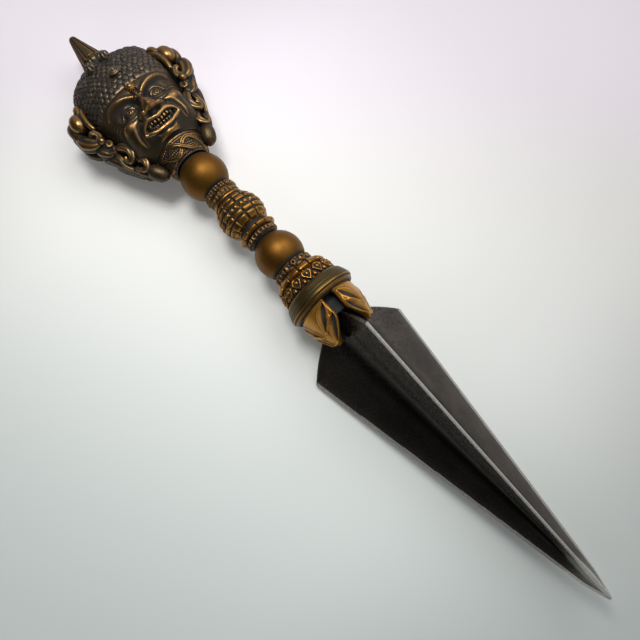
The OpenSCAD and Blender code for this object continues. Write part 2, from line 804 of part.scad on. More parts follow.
// Wing of curls at one side: lobes of hair as [x, y, z, r] pairs, in shares of its sizes
wing_len = head_len - wing_start - wing_gap;
wing_half_w = head_half_w + wing_out;
function lobe_point(x, y, z, side) = [
    x_head + wing_start + wing_len * x + (side < 0 ? wing_skew * (1 - x) : 0),
    side * wing_half_w * y,
    wing_t * z,
];
lobes = [
    [[0.02, 0.65, 0.42, 2.2], [0.07, 0.64, 0.50, 2.0]],
    [[0.09, 0.78, 0.36, 4.0], [0.18, 0.74, 0.50, 3.9]],
    [[0.12, 0.89, 0.04, 3.9], [0.21, 0.90, 0.12, 3.7]],
    [[0.27, 0.885, 0.08, 4.2], [0.39, 0.80, 0.20, 4.0]],
    [[0.28, 0.80, 0.40, 3.1], [0.37, 0.76, 0.48, 2.6]],
    [[0.46, 0.74, 0.16, 4.0], [0.52, 0.66, 0.16, 4.2]],
    [[0.57, 0.625, 0.00, 5.4], [0.71, 0.55, 0.00, 5.2]],
    [[0.77, 0.49, 0.16, 4.2], [0.85, 0.445, 0.16, 4.2]],
    [[0.88, 0.42, 0.08, 4.6], [0.93, 0.40, 0.04, 4.4]],
];
// The head form with a little room, for what lies on it
module head_skin() {
    rows = 32;
    loft([
        for (j = [0:rows])
            let(u = mix(0.02, 1.02, j / rows))
            [for (i = [0:35]) let(a = 10 * i) head_point(u, a, head_r(min(u, 1), a) + 2 * seat)],
    ]);
}

module lobe(pair, side) {
    hull() for (p = pair) translate(lobe_point(p[0], p[1], p[2], side)) sphere(r = p[3], $fn = 18);
}

module wing(side) {
    color(bronze) difference() {
        union() {
            for (pair = lobes) lobe(pair, side);
            hull() for (p = [[0.10, 0.72, 4], [0.34, 0.76, 4.2], [0.60, 0.58, 4.4], [0.90, 0.36, 4.2]])
                translate(lobe_point(p[0], p[1], -0.22, side)) sphere(r = p[2], $fn = 18);
            translate(lobe_point(0.45, 0.72, 0.62, side)) sphere(r = 2, $fn = 18);
        }
        head_skin();
        neck_cone(knot_rise, seat);
        axial(2 * wing_half_w, x_head, x_head + wing_start - 1.7);
    }
}

module wing_left() {
    lay() wing(1);
}

module wing_right() {
    lay() wing(-1);
}

// Knot collar: two strands that pass over and under each other round a sleeve
knot_rise = sleeve_t + strand_lift + strand_rise + strand_r + seat;
function strand_point(angle, side, t) =
    let(
        wave = knot_crossings / 2 * angle,
        x = x_neck - knot_len / 2 + side * (knot_len / 2 - strand_r - knot_margin) * sin(wave),
        r = neck_at(x) + sleeve_t + strand_lift + side * strand_rise * cos(wave)
    )
    [x + strand_r * cos(t), (r + strand_r * sin(t)) * sin(angle), (r + strand_r * sin(t)) * cos(angle)];
module strand(side) {
    ring_loft([for (i = [0:71]) [for (k = [0:5]) strand_point(5 * i, side, -60 * k)]]);
}
module knot_collar() {
    color(dark_bronze) lay() difference() {
        union() {
            neck_cone(sleeve_t, 0);
            strand(1);
            strand(-1);
        }
        neck_cone(fit, 1);
    }
}

// Forehead bead in a round setting, on the face's upper edge
module forehead_bead() {
    x = x_head + cap_len + jewel_r + 0.9;
    setting_h = 0.9;
    color(bronze) lay() translate([x, 0, face_h + seat]) {
        cylinder(r = jewel_r + 0.5, h = setting_h, $fn = 48);
        intersection() {
            translate([0, 0, setting_h]) sphere(r = jewel_r, $fn = 48);
            cylinder(r = jewel_r, h = 2 * jewel_r, $fn = 48);
        }
    }
}

// Coil on the front of the cap: two turns and a bead
module cap_coil() {
    u = 0.72 * cap_u;
    rise = atan((head_front(u + 0.01) - head_front(u - 0.01)) / (0.02 * head_len));
    color(bronze) lay() translate(head_point(u, 0, head_front(u) + seat)) rotate([0, -rise, 0]) {
        rotate_extrude($fn = 48) translate([coil_r - 1, 1]) circle(r = 1, $fn = 24);
        cylinder(r = coil_r - 1, h = 1.2, $fn = 48);
        translate([0, 0, 1.3]) sphere(r = 1.3, $fn = 24);
    }
}

// Boss between the crown and the horn
module crown_boss() {
    color(dark_bronze) lay() turned([
        [tang_r + fit, x_boss], [horn_r - 0.4, x_boss], [boss_r, x_boss + 1.2],
        [boss_r, x_head - 0.6], [boss_r - 0.8, x_head], [tang_r + fit, x_head],
    ]);
}

// Two round lobes that lie on the crown beside the horn, each with a drilled dot
module crown_lobes() {
    color(dark_bronze) lay() difference() {
        for (place = [[0.09, 14], [0.12, -26]])
            translate(head_point(place[0], place[1], head_r(place[0], place[1]) + 0.3 * lobe_r))
                rotate([-place[1], -24, 0]) difference() {
                    sphere(r = lobe_r, $fn = 48);
                    translate([0, 0, lobe_r - 0.8]) cylinder(r = 0.6, h = 1, $fn = 16);
                }
        head_skin();
    }
}

// Horn: a fluted cone with a round tip
module horn() {
    tip_r = 2.4;
    slope = atan((horn_r - tip_r) / (horn_len - tip_r));
    color(bronze) lay() difference() {
        union() {
            translate([tip_r, 0, 0]) sphere(r = tip_r, $fn = round_fn);
            turned([
                [0, tip_r], [tip_r, tip_r], [horn_r, horn_len - 0.6], [horn_r - 0.3, horn_len],
                [0, horn_len],
            ]);
        }
        axial(tang_r + fit, horn_len - tang_in_horn, horn_len + 1);
        around(horn_flutes, 180 / horn_flutes) translate([3, 0, tip_r + 0.45]) rotate([0, 90 - slope, 0])
            cylinder(r = 0.9, h = horn_len - 4.5, $fn = 24);
    }
}

// Tang, washer and nut, sealed inside the stack
module tang() {
    from = horn_len - tang_in_horn + 0.2;
    to = x_blade - plug_len + tang_in_blade - 0.2;
    color(steel) lay() difference() {
        axial(tang_r, from, to);
        socket_pin_hole();
        head_pin_hole();
    }
}

module tang_washer() {
    color(steel) lay() difference() {
        axial(washer_r, nut_seat - washer_t, nut_seat);
        tang_bore(nut_seat - washer_t, nut_seat);
    }
}

module tang_nut() {
    from = nut_seat - washer_t - nut_len;
    color(steel) lay() difference() {
        translate([from, 0, 0]) rotate([0, 90, 0])
            cylinder(r = nut_flats / 2 / cos(30), h = nut_len, $fn = 6);
        tang_bore(from, from + nut_len);
    }
}

horn();
crown_boss();
crown_lobes();
cap_coil();
forehead_bead();
cap();
face();
back_hair();
head_core();
wing_left();
wing_right();
knot_collar();
upper_knob();
beaded_ring();
rosette_ring();
plain_ring();
barrel_knob();
segment_ring();
toothed_ring();
lower_knob();
drilled_ring();
brick_ring();
petal_ring();
guard();
socket_core();
leaf(60);  // leaf_left
leaf(-60);  // leaf_right
leaf(180);  // leaf_back
blade();
tang();
tang_washer();
tang_nut();
head_pin();
socket_pin();
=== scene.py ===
# %% [markdown]
# # A phurba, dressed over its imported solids
# A phurba is a ritual dagger with three edges. A fluted horn, a scaled cap and a fierce face with wings
# of curls make its head, a stack of turned and chased rings makes its grip, and a steel blade with three
# fins grows out of a socket clad in leaves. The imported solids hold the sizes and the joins, so this file
# only has to give each piece its skin. Every skin is worked out as a height over the form it lies on,
# the way a founder raises relief on a wax core, and then it takes an aged metal finish.

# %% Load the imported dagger
import math

import bpy
import numpy as np
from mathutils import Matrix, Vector


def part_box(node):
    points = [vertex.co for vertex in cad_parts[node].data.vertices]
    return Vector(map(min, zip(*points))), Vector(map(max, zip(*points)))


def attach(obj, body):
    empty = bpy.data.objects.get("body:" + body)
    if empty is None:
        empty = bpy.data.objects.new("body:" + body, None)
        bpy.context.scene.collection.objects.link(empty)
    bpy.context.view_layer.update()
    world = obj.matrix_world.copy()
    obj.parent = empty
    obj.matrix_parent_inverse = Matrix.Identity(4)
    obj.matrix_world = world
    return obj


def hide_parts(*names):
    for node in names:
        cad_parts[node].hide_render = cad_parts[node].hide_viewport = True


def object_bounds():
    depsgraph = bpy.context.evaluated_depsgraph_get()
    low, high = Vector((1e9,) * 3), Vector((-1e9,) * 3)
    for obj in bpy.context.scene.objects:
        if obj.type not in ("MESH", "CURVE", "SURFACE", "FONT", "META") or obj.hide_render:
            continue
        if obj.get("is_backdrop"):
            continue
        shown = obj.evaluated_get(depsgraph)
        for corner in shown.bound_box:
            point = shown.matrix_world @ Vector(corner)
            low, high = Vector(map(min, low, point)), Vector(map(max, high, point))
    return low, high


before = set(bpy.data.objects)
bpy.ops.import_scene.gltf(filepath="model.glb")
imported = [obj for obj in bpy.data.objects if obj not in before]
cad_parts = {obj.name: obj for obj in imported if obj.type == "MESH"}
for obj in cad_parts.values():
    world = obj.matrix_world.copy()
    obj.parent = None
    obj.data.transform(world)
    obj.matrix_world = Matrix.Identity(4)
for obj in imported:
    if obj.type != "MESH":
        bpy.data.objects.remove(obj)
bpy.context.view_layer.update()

MM = 0.001


def add_object(name, data):
    """A new object in the scene, with a mesh, a lamp or a camera in it."""
    added = bpy.data.objects.new(name, data)
    bpy.context.scene.collection.objects.link(added)
    return added


# %% [markdown]
# ## Camera
# The photograph looks down on the dagger from about a quarter of a metre, with a wide lens. Its place
# was worked out from the two ball knobs, which are true circles, and from the straight edges of the
# blade. A plain perspective camera aimed at a point is all that the view needs.

# %% Camera
camera_data = bpy.data.cameras.new("photo_camera")
camera_data.lens = 30.55
camera_data.sensor_width = 36
camera_data.clip_start = 0.005
camera = add_object("photo_camera", camera_data)
camera.location = (0.066, -0.0513, 0.2676)
looks_at = Vector((0.0189, -0.0078, 0.0185))
camera.rotation_euler = (looks_at - camera.location).to_track_quat("-Z", "Y").to_euler()
bpy.context.scene.camera = camera
print("camera is", round((looks_at - camera.location).length / MM), "mm from the point it looks at")

# %% [markdown]
# ## Wiring nodes
# A material in Blender is a tree of nodes joined by links, the same tree that the shader editor draws.
# Each node could be added and linked there with the mouse, but a script can be read, changed and run
# again. These helpers add a node with its values, or plug one into another, in one line each.

# %% Node helpers
def add_node(tree, kind, **values):
    """Adds a node, and sets its properties or its input sockets by name."""
    new = tree.nodes.new("ShaderNode" + kind)
    for name, value in values.items():
        label = name.replace("_", " ")
        if hasattr(new, name):
            setattr(new, name, value)
        else:
            new.inputs[label].default_value = value
    return new


def plug(tree, source, target):
    """Joins an output to an input."""
    tree.links.new(source, target)


def blend_colours(tree, factor, first, second):
    """A node that goes from the first colour to the second as the factor goes from 0 to 1."""
    mixer = add_node(tree, "Mix", data_type="RGBA")
    tree.links.new(factor, mixer.inputs[0])
    for source, socket in ((first, mixer.inputs[6]), (second, mixer.inputs[7])):
        if isinstance(source, tuple):
            socket.default_value = (*source, 1)
        else:
            tree.links.new(source, socket)
    return mixer.outputs[2]


def remap(tree, value, low, high, to_low=0.0, to_high=1.0):
    """A value brought from one range to another along a smooth step."""
    step = add_node(tree, "MapRange", interpolation_type="SMOOTHSTEP")
    tree.links.new(value, step.inputs["Value"])
    for socket, number in zip(step.inputs[1:5], (low, high, to_low, to_high)):
        socket.default_value = number
    return step.outputs["Result"]


def arithmetic(tree, operation, first, second, third=None):
    """One Math node on sockets or plain numbers."""
    step = add_node(tree, "Math", operation=operation)
    for source, socket in zip((first, second, third), step.inputs):
        if source is None:
            continue
        if isinstance(source, (int, float)):
            socket.default_value = source
        else:
            tree.links.new(source, socket)
    return step.outputs[0]


def new_material(name):
    """A material with its node tree and its Principled shader."""
    material = bpy.data.materials.new(name)
    material.use_nodes = True
    return material, material.node_tree, material.node_tree.nodes["Principled BSDF"]


print("node helpers are ready")

# %% [markdown]
# ## Studio
# The dagger lies on a pale sheet with a breath of lilac behind the head. Shade is painted into the sheet:
# it goes from a warm white at the horn to a darker cool grey at the point, and it is dimmer at its sides
# and ends, as light falls off there. The shadow is wide and weak and falls on the near side, so the main
# light is a soft one over the head, a broad one helps it from the far side, and a weak fill from the near
# side lifts the shadow. The near side of the sky is dark, because the face of the blade that mirrors it
# is nearly black, and for the same reason the fill doesn't show in metal. The sheet's painted shade could
# come from coloured lamps, but these would tint the bronze too. So it is painted into the material of
# the floor, and it is there from every side.

# %% Floor and light
FLOOR_HALF = 1.5
floor_corners = [(x * FLOOR_HALF, y * FLOOR_HALF, 0) for x, y in ((-1, -1), (1, -1), (1, 1), (-1, 1))]
floor_mesh = bpy.data.meshes.new("floor")
floor_mesh.from_pydata(floor_corners, [], [(0, 1, 2, 3)])
floor = add_object("floor", floor_mesh)
floor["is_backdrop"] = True


def paint_floor():
    """Warm white at the horn, lilac behind, and painted shade: dark grey at the point, dim sides and ends.
    """
    material, tree, shader = new_material("paper_floor")
    place_on_floor = add_node(tree, "TexCoord").outputs["Object"]
    split = add_node(tree, "SeparateXYZ")
    plug(tree, place_on_floor, split.inputs[0])
    slope = arithmetic(tree, "MULTIPLY_ADD", split.outputs["Y"], -1.3, split.outputs["X"])
    behind = arithmetic(tree, "SUBTRACT", split.outputs["Y"], split.outputs["X"])
    # Painted shade: the sheet is dimmed toward its sides and ends, as if the lamps' light fell off there.
    painted_dim_far_side = remap(tree, split.outputs["Y"], -0.06, 0.2, 1.12, 0.72)
    painted_dim_near_side = remap(tree, split.outputs["Y"], -0.22, 0.01, 0.74, 0.98)
    painted_dim_point_end = remap(tree, split.outputs["X"], 0.09, 0.22, 1.0, 0.68)
    painted_dim_horn_end = remap(tree, split.outputs["X"], -0.22, -0.1, 0.80, 1.0)
    shade = arithmetic(tree, "MULTIPLY", painted_dim_far_side, painted_dim_near_side)
    for end in (painted_dim_point_end, painted_dim_horn_end):
        shade = arithmetic(tree, "MULTIPLY", shade, end)
    factor = remap(tree, slope, -0.33, 0.42)
    grain = add_node(tree, "TexNoise", Scale=900.0, Detail=2.0)
    plug(tree, place_on_floor, grain.inputs["Vector"])
    white = blend_colours(tree, remap(tree, behind, 0.06, 0.2), (0.87, 0.84, 0.80), (0.88, 0.81, 0.86))
    # Painted shade: the sheet turns to a darker cool grey toward the point.
    colour = blend_colours(tree, factor, white, (0.455, 0.51, 0.485))
    paper = add_node(tree, "Bump", Strength=0.04, Distance=0.0003)
    plug(tree, grain.outputs["Fac"], paper.inputs["Height"])
    shaded = add_node(tree, "VectorMath", operation="SCALE")
    plug(tree, colour, shaded.inputs["Vector"])
    plug(tree, shade, shaded.inputs["Scale"])
    plug(tree, shaded.outputs["Vector"], shader.inputs["Base Color"])
    plug(tree, paper.outputs["Normal"], shader.inputs["Normal"])
    shader.inputs["Roughness"].default_value = 0.75
    return material


floor_mesh.materials.append(paint_floor())


def soft_light(name, stands_at, aims_at, size, watts):
    """A round soft lamp."""
    lamp = bpy.data.lights.new(name, "AREA")
    lamp.shape = "DISK"
    lamp.size = size
    lamp.energy = watts
    lit = add_object(name, lamp)
    lit.location = stands_at
    lit.rotation_euler = (Vector(aims_at) - Vector(stands_at)).to_track_quat("-Z", "Y").to_euler()
    return lit


soft_light("main_light", (-0.14, 0.03, 0.42), (-0.02, 0, 0), 0.16, 1.1)
soft_light("side_light", (-0.04, 0.30, 0.42), (-0.04, 0, 0), 0.40, 1.1)
fill = soft_light("fill_light", (0.12, -0.42, 0.30), (0.10, 0, 0), 0.50, 0.9)
fill.visible_glossy = False

world = bpy.data.worlds.new("studio")
bpy.context.scene.world = world
world.use_nodes = True
air = world.node_tree
sky = air.nodes["Background"]
sky.inputs["Color"].default_value = (0.93, 0.95, 1.0, 1)
toward = add_node(air, "SeparateXYZ")
plug(air, add_node(air, "TexCoord").outputs["Generated"], toward.inputs[0])
plug(air, remap(air, toward.outputs["Y"], -0.55, 0.35, 0.03, 0.6), sky.inputs["Strength"])
bpy.context.scene.view_settings.view_transform = "Standard"
print("floor, three soft lights and a dim sky are up")

# %% [markdown]
# ## Aged bronze and forged steel
# Old bronze is several colours at once: bare warm metal where hands rub it, brown that drifts into olive
# over most of it, and a near black crust in every hollow that a cloth can't reach. One shader group
# paints that for all the bronze pieces, and painted shade as well. It reads a mark named wear_and_shade,
# which is worked out for each mesh from how far each point stands out of its surroundings, with painted
# light and shade added on some pieces. It also turns the bronze to crust wherever another surface is
# near, the floor too: that is dirt where pieces meet, and painted shade where the bronze lies close to
# other surfaces. Each material gives the group its own worn, brown and olive colours and keeps its own
# shader. A picture painted by hand could do the same, but then each change of shape would ask for a new
# one.

# %% Patina group
def new_group(name, inputs, outputs):
    """A shader node group with named inputs and outputs."""
    group = bpy.data.node_groups.new(name, "ShaderNodeTree")
    for label, kind, value in inputs:
        socket = group.interface.new_socket(label, in_out="INPUT", socket_type=kind)
        socket.default_value = value
    for label, kind in outputs:
        group.interface.new_socket(label, in_out="OUTPUT", socket_type=kind)
    return group, group.nodes.new("NodeGroupInput"), group.nodes.new("NodeGroupOutput")


def make_patina_and_shade():
    """Worn, brown and black bronze from the wear and shade mark and noise, with dirt and painted shade near
    surfaces.
    """
    group, given, result = new_group(
        "patina_and_shade",
        [
            ("Worn", "NodeSocketColor", (0.5, 0.28, 0.1, 1)),
            ("Brown", "NodeSocketColor", (0.14, 0.09, 0.04, 1)),
            ("Olive", "NodeSocketColor", (0.09, 0.075, 0.035, 1)),
            ("Crust", "NodeSocketColor", (0.012, 0.012, 0.013, 1)),
            ("Polish", "NodeSocketFloat", 0.0),
            ("Grime", "NodeSocketFloat", 0.0),
        ],
        [
            ("Color", "NodeSocketColor"),
            ("Roughness", "NodeSocketFloat"),
            ("Metal", "NodeSocketFloat"),
            ("Height", "NodeSocketFloat"),
        ],
    )
    where = add_node(group, "TexCoord").outputs["Object"]
    clouds = add_node(group, "TexNoise", Scale=55.0, Detail=3.0)
    spots = add_node(group, "TexNoise", Scale=420.0, Detail=5.0, Roughness=0.62)
    grain = add_node(group, "TexNoise", Scale=1500.0, Detail=3.0)
    for noise in (clouds, spots, grain):
        plug(group, where, noise.inputs["Vector"])
    wear_and_shade = add_node(group, "Attribute", attribute_name="wear_and_shade").outputs["Fac"]
    # Painted shade and dirt: occlusion within 6 mm, the floor included, pushes the bronze toward crust.
    painted_shade_nearby = add_node(group, "AmbientOcclusion", samples=8, Distance=0.006).outputs["AO"]
    spotted = arithmetic(group, "MULTIPLY_ADD", spots.outputs["Fac"], 0.22, -0.11)
    clouded = arithmetic(group, "MULTIPLY_ADD", clouds.outputs["Fac"], 0.3, -0.15)
    raised = arithmetic(group, "ADD", arithmetic(group, "ADD", wear_and_shade, spotted), clouded)
    raised = arithmetic(group, "ADD", raised, given.outputs["Polish"])
    # Worn metal follows the mark, which carries painted light on some pieces; crust also takes their
    # painted shade.
    worn_and_lit = remap(group, raised, 0.55, 0.93)
    sunk_and_shaded = arithmetic(group, "SUBTRACT", 0.5, wear_and_shade)
    dirt_and_painted_shade = arithmetic(group, "MULTIPLY_ADD", painted_shade_nearby, -1.15, 1.15)
    grime_and_shade = arithmetic(group, "ADD", arithmetic(group, "MULTIPLY", sunk_and_shaded, 1.25), dirt_and_painted_shade)
    grime_and_shade = arithmetic(group, "ADD", arithmetic(group, "ADD", grime_and_shade, spotted), given.outputs["Grime"])
    crust_and_shade = remap(group, grime_and_shade, 0.12, 0.62)
    drift = remap(group, clouds.outputs["Fac"], 0.38, 0.62)
    base = blend_colours(group, drift, given.outputs["Brown"], given.outputs["Olive"])
    wear_and_sheen = blend_colours(group, worn_and_lit, base, given.outputs["Worn"])
    colour = blend_colours(group, crust_and_shade, wear_and_sheen, given.outputs["Crust"])
    rough = arithmetic(group, "MULTIPLY_ADD", worn_and_lit, -0.18, 0.47)
    rough = arithmetic(group, "ADD", rough, spotted)
    rough = arithmetic(group, "MULTIPLY_ADD", crust_and_shade, 0.2, rough)
    metal = arithmetic(group, "MULTIPLY_ADD", crust_and_shade, -0.5, 0.92)
    height = arithmetic(group, "MULTIPLY_ADD", spots.outputs["Fac"], 0.6, grain.outputs["Fac"])
    for source, label in ((colour, "Color"), (rough, "Roughness"), (metal, "Metal"), (height, "Height")):
        plug(group, source, result.inputs[label])
    return group


patina_and_shade = make_patina_and_shade()
print("patina group has", len(patina_and_shade.nodes), "nodes")


# %% [markdown]
# ## Six bronzes
# Hands and polishing have left the bronze uneven: the ball knobs are rubbed to a warm shine, the leaves
# are the palest, the cap is grey and the narrow rings are crusted. One material with a mask for each
# piece could show that. Here each is a material of its own round the same patina group, because then its
# colours can be tuned without a change to the others.

# %% Bronze finishes
def bronze_finish(name, worn_and_lit, brown, olive, polish=0.0, grime_and_shade=0.0, relief=0.35, satin=0.0, dull=0.0):
    """A bronze whose colours and amount of polish and of grime and shade are its own, dull where lacquer is
    left.
    """
    material, tree, shader = new_material(name)
    skin = tree.nodes.new("ShaderNodeGroup")
    skin.node_tree = patina_and_shade
    for label, colour in (("Worn", worn_and_lit), ("Brown", brown), ("Olive", olive)):
        skin.inputs[label].default_value = (*colour, 1)
    skin.inputs["Polish"].default_value = polish
    skin.inputs["Grime"].default_value = grime_and_shade
    cast = add_node(tree, "Bump", Strength=relief, Distance=0.00006)
    plug(tree, skin.outputs["Height"], cast.inputs["Height"])
    plug(tree, skin.outputs["Color"], shader.inputs["Base Color"])
    plug(tree, arithmetic(tree, "ADD", skin.outputs["Roughness"], satin), shader.inputs["Roughness"])
    plug(tree, arithmetic(tree, "SUBTRACT", skin.outputs["Metal"], dull), shader.inputs["Metallic"])
    plug(tree, cast.outputs["Normal"], shader.inputs["Normal"])
    return material


BRONZE = bronze_finish("old_bronze", (0.27, 0.125, 0.02), (0.08, 0.05, 0.014), (0.055, 0.04, 0.014))
HEAD_BRONZE = bronze_finish(
    "face_bronze", (0.24, 0.135, 0.048), (0.07, 0.048, 0.024), (0.045, 0.036, 0.022),
)
KNOB_BRONZE = bronze_finish(
    "rubbed_bronze", (0.275, 0.10, 0.0105), (0.142, 0.064, 0.0092), (0.092, 0.049, 0.0092),
    polish=0.02, relief=0.25, satin=0.04,
)
DARK_BRONZE = bronze_finish(
    "crusted_bronze", (0.20, 0.105, 0.03), (0.042, 0.031, 0.015), (0.03, 0.025, 0.014),
    polish=-0.03, grime_and_shade=0.08, relief=0.5,
)
CAP_BRONZE = bronze_finish(
    "grey_bronze", (0.14, 0.10, 0.06), (0.05, 0.041, 0.03), (0.038, 0.036, 0.03),
    polish=-0.08, grime_and_shade=0.06, relief=0.6, satin=0.12,
)
LEAF_BRONZE = bronze_finish(
    "leaf_bronze", (0.42, 0.195, 0.03), (0.185, 0.10, 0.023), (0.10, 0.066, 0.021),
    polish=0.03, relief=0.3, dull=0.2,
)
print("six bronze finishes")


# %% [markdown]
# ## Blade steel
# The blade is forged and filed: dark gunmetal with a faint brown bloom, tiny rust pits near its root,
# and a paler ground strip along each edge, from which a painted sheen fades down each face, most on the
# upper fin and near the point. Its hollows are painted almost black as painted shade. Rust, painted
# shade and strips are marked on the mesh by name, so that the colour follows the shape, and stretched
# noise gives the long strokes of the file. The pieces sealed inside take a plain turned steel.

# %% Steel finishes
def blade_finish():
    """Dark filed steel that reads the marks for ground edges with painted sheen, rust and painted hollow
    shade.
    """
    material, tree, shader = new_material("forged_steel")
    where = add_node(tree, "TexCoord").outputs["Object"]
    stretch = add_node(tree, "Mapping")
    stretch.inputs["Scale"].default_value = (0.04, 1, 1)
    plug(tree, where, stretch.inputs["Vector"])
    strokes = add_node(tree, "TexNoise", Scale=1400.0, Detail=3.0)
    plug(tree, stretch.outputs["Vector"], strokes.inputs["Vector"])
    bloom = add_node(tree, "TexNoise", Scale=70.0, Detail=5.0, Roughness=0.6)
    pits = add_node(tree, "TexNoise", Scale=600.0, Detail=4.0, Roughness=0.7)
    for noise in (bloom, pits):
        plug(tree, where, noise.inputs["Vector"])
    ground_and_sheen = add_node(tree, "Attribute", attribute_name="ground_and_sheen").outputs["Fac"]
    root = add_node(tree, "Attribute", attribute_name="rust").outputs["Fac"]
    hollow = add_node(tree, "Attribute", attribute_name="hollow").outputs["Fac"]
    browner = remap(tree, bloom.outputs["Fac"], 0.35, 0.65)
    bare = blend_colours(tree, browner, (0.080, 0.071, 0.062), (0.112, 0.096, 0.080))
    # Painted shade: the hollows are painted almost black.
    steel = blend_colours(tree, hollow, bare, (0.014, 0.012, 0.012))
    pitted = arithmetic(tree, "MULTIPLY", remap(tree, pits.outputs["Fac"], 0.51, 0.64), root)
    browned = blend_colours(tree, pitted, steel, (0.03, 0.02, 0.014))
    # The ground strips are paler steel, and the same mark carries a painted sheen down each face.
    shone = blend_colours(tree, ground_and_sheen, browned, (0.44, 0.42, 0.385))
    rough = arithmetic(tree, "MULTIPLY_ADD", strokes.outputs["Fac"], 0.12, 0.20)
    rough = arithmetic(tree, "MULTIPLY_ADD", pitted, 0.25, rough)
    depth = arithmetic(tree, "MULTIPLY_ADD", pitted, -1.6, strokes.outputs["Fac"])
    filed = add_node(tree, "Bump", Strength=0.35, Distance=0.00006)
    plug(tree, depth, filed.inputs["Height"])
    plug(tree, shone, shader.inputs["Base Color"])
    plug(tree, rough, shader.inputs["Roughness"])
    dull = arithmetic(tree, "MULTIPLY_ADD", root, 0.06, arithmetic(tree, "MULTIPLY", ground_and_sheen, 0.55))
    plug(tree, arithmetic(tree, "SUBTRACT", 1.0, dull), shader.inputs["Metallic"])
    plug(tree, filed.outputs["Normal"], shader.inputs["Normal"])
    return material


def fastener_finish():
    """Plain bright steel with a turned grain, for the pieces sealed inside."""
    material, tree, shader = new_material("turned_steel")
    where = add_node(tree, "TexCoord").outputs["Object"]
    rings = add_node(tree, "TexNoise", Scale=800.0, Detail=2.0)
    plug(tree, where, rings.inputs["Vector"])
    shade = blend_colours(tree, rings.outputs["Fac"], (0.28, 0.27, 0.26), (0.42, 0.41, 0.39))
    plug(tree, shade, shader.inputs["Base Color"])
    plug(tree, remap(tree, rings.outputs["Fac"], 0.3, 0.7, 0.28, 0.42), shader.inputs["Roughness"])
    shader.inputs["Metallic"].default_value = 1.0
    return material


STEEL = blade_finish()
FASTENER = fastener_finish()
print("two steel finishes")

# %% [markdown]
# ## Rulers
# All the shapes below are written in the maker's own frame: millimetres along the axis from the tip of
# the horn, and millimetres to the left of it and above it. The places of the pieces come from the packed
# solids, so a change of size there moves the skins here too.

# %% Places and sizes from the solids
HORN_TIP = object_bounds()[0].x
BORE_CLEARANCE = 0.05
tang_low, tang_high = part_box("tang")
AXIS_Z = (tang_low.z + tang_high.z) / 2
BORE = (tang_high.y - tang_low.y) / 2 / MM + BORE_CLEARANCE


def span(node):
    """A node's first and last station along the axis, and its half width, in millimetres."""
    low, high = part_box(node)
    return (low.x - HORN_TIP) / MM, (high.x - HORN_TIP) / MM, (high.y - low.y) / 2 / MM


def place(points):
    """Millimetres (along, left, up) from the horn's tip, turned into metres in the solids' frame."""
    return np.asarray(points) * MM + (HORN_TIP, 0, AXIS_Z)


print("horn tip at", round(HORN_TIP / MM, 2), "axis at", round(AXIS_Z / MM, 2), "bore", round(BORE, 2))


# %% [markdown]
# ## From points to a piece
# A skin is a grid of points, so it starts as an array and becomes a mesh in one step. Each piece then
# gets its wear and shade mark: a copy of the mesh is smoothed until its relief is gone, and whatever
# stands proud of that copy is worn, and whatever lies under it is crusted. A bevel node could find edges
# too, but it is slow and knows nothing of hollows. A rub and shade of its own, above or below zero, says
# where hands or dirt reach, and on the knobs, leaves and wings it also holds painted light and shade.

# %% A new piece
WEAR_REACH = 0.45
WEAR_PROUD = 0.10


def read(items, label, width, kind=float):
    """A property of every vertex, edge or loop of a mesh, as an array with one row for each."""
    values = np.empty(len(items) * width, kind)
    items.foreach_get(label, values)
    return values.reshape(-1, width)


def write_mark(mesh, label, values):
    """Gives every point of a mesh one number, which a material can read by its name."""
    layer = mesh.attributes.new(label, "FLOAT", "POINT")
    layer.data.foreach_set("value", np.asarray(values).astype(np.float32))


def mark_wear_and_shade(mesh, rub_and_shade, deepest):
    """Marks how far each point stands out: 0.5 is flat, 1 a sharp edge, plus rub_and_shade: wear, dirt,
    painted shade.
    """
    count = len(mesh.vertices)
    points = read(mesh.vertices, "co", 3) / MM
    a, b = read(mesh.edges, "vertices", 2, int).T
    here, there = np.concatenate((a, b)), np.concatenate((b, a))
    degree = np.maximum(np.bincount(here, minlength=count), 1)[:, None]
    step = np.linalg.norm(points[a] - points[b], axis=1)
    rounds = int(min(90, max(4, 3 * (WEAR_REACH / np.median(step)) ** 2)))
    soft = points.copy()
    for _ in range(rounds):
        total = np.stack([np.bincount(here, soft[there, k], count) for k in range(3)], 1)
        soft = 0.25 * soft + 0.75 * total / degree
    proud = ((points - soft) * read(mesh.vertex_normals, "vector", 3)).sum(1)
    free = np.clip((rub_and_shade + 0.65) / 0.3, 0, 1)
    write_mark(mesh, "wear_and_shade", np.clip(0.5 + 0.5 * proud / WEAR_PROUD * free + rub_and_shade, deepest, 1))


def new_piece(name, points, quads, finish, slot, *nodes, fans=(), rub_and_shade=0.0, deepest=0.0):
    """Makes a smooth closed mesh from points in millimetres, and lets it stand for its CAD nodes."""
    points = np.asarray(points, float)
    faces = np.asarray(quads)
    a, b, c, d = (points[faces[:, k]] for k in range(4))
    volume = np.einsum("ij,ij->i", a, np.cross(b, c) + np.cross(c, d)).sum()
    if volume < 0:
        faces = faces[:, ::-1]
        fans = [fan[::-1] for fan in fans]
    mesh = bpy.data.meshes.new(name)
    mesh.from_pydata(place(points).tolist(), [], faces.tolist() + [list(map(int, fan)) for fan in fans])
    mesh.validate()
    mesh.shade_smooth()
    mark_wear_and_shade(mesh, rub_and_shade, deepest)
    mesh.materials.append(finish)
    piece = add_object(name, mesh)
    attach(piece, "root")
    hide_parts(*nodes)
    print(name, "has", len(mesh.polygons), "faces and stands for", ", ".join(nodes))
    return piece


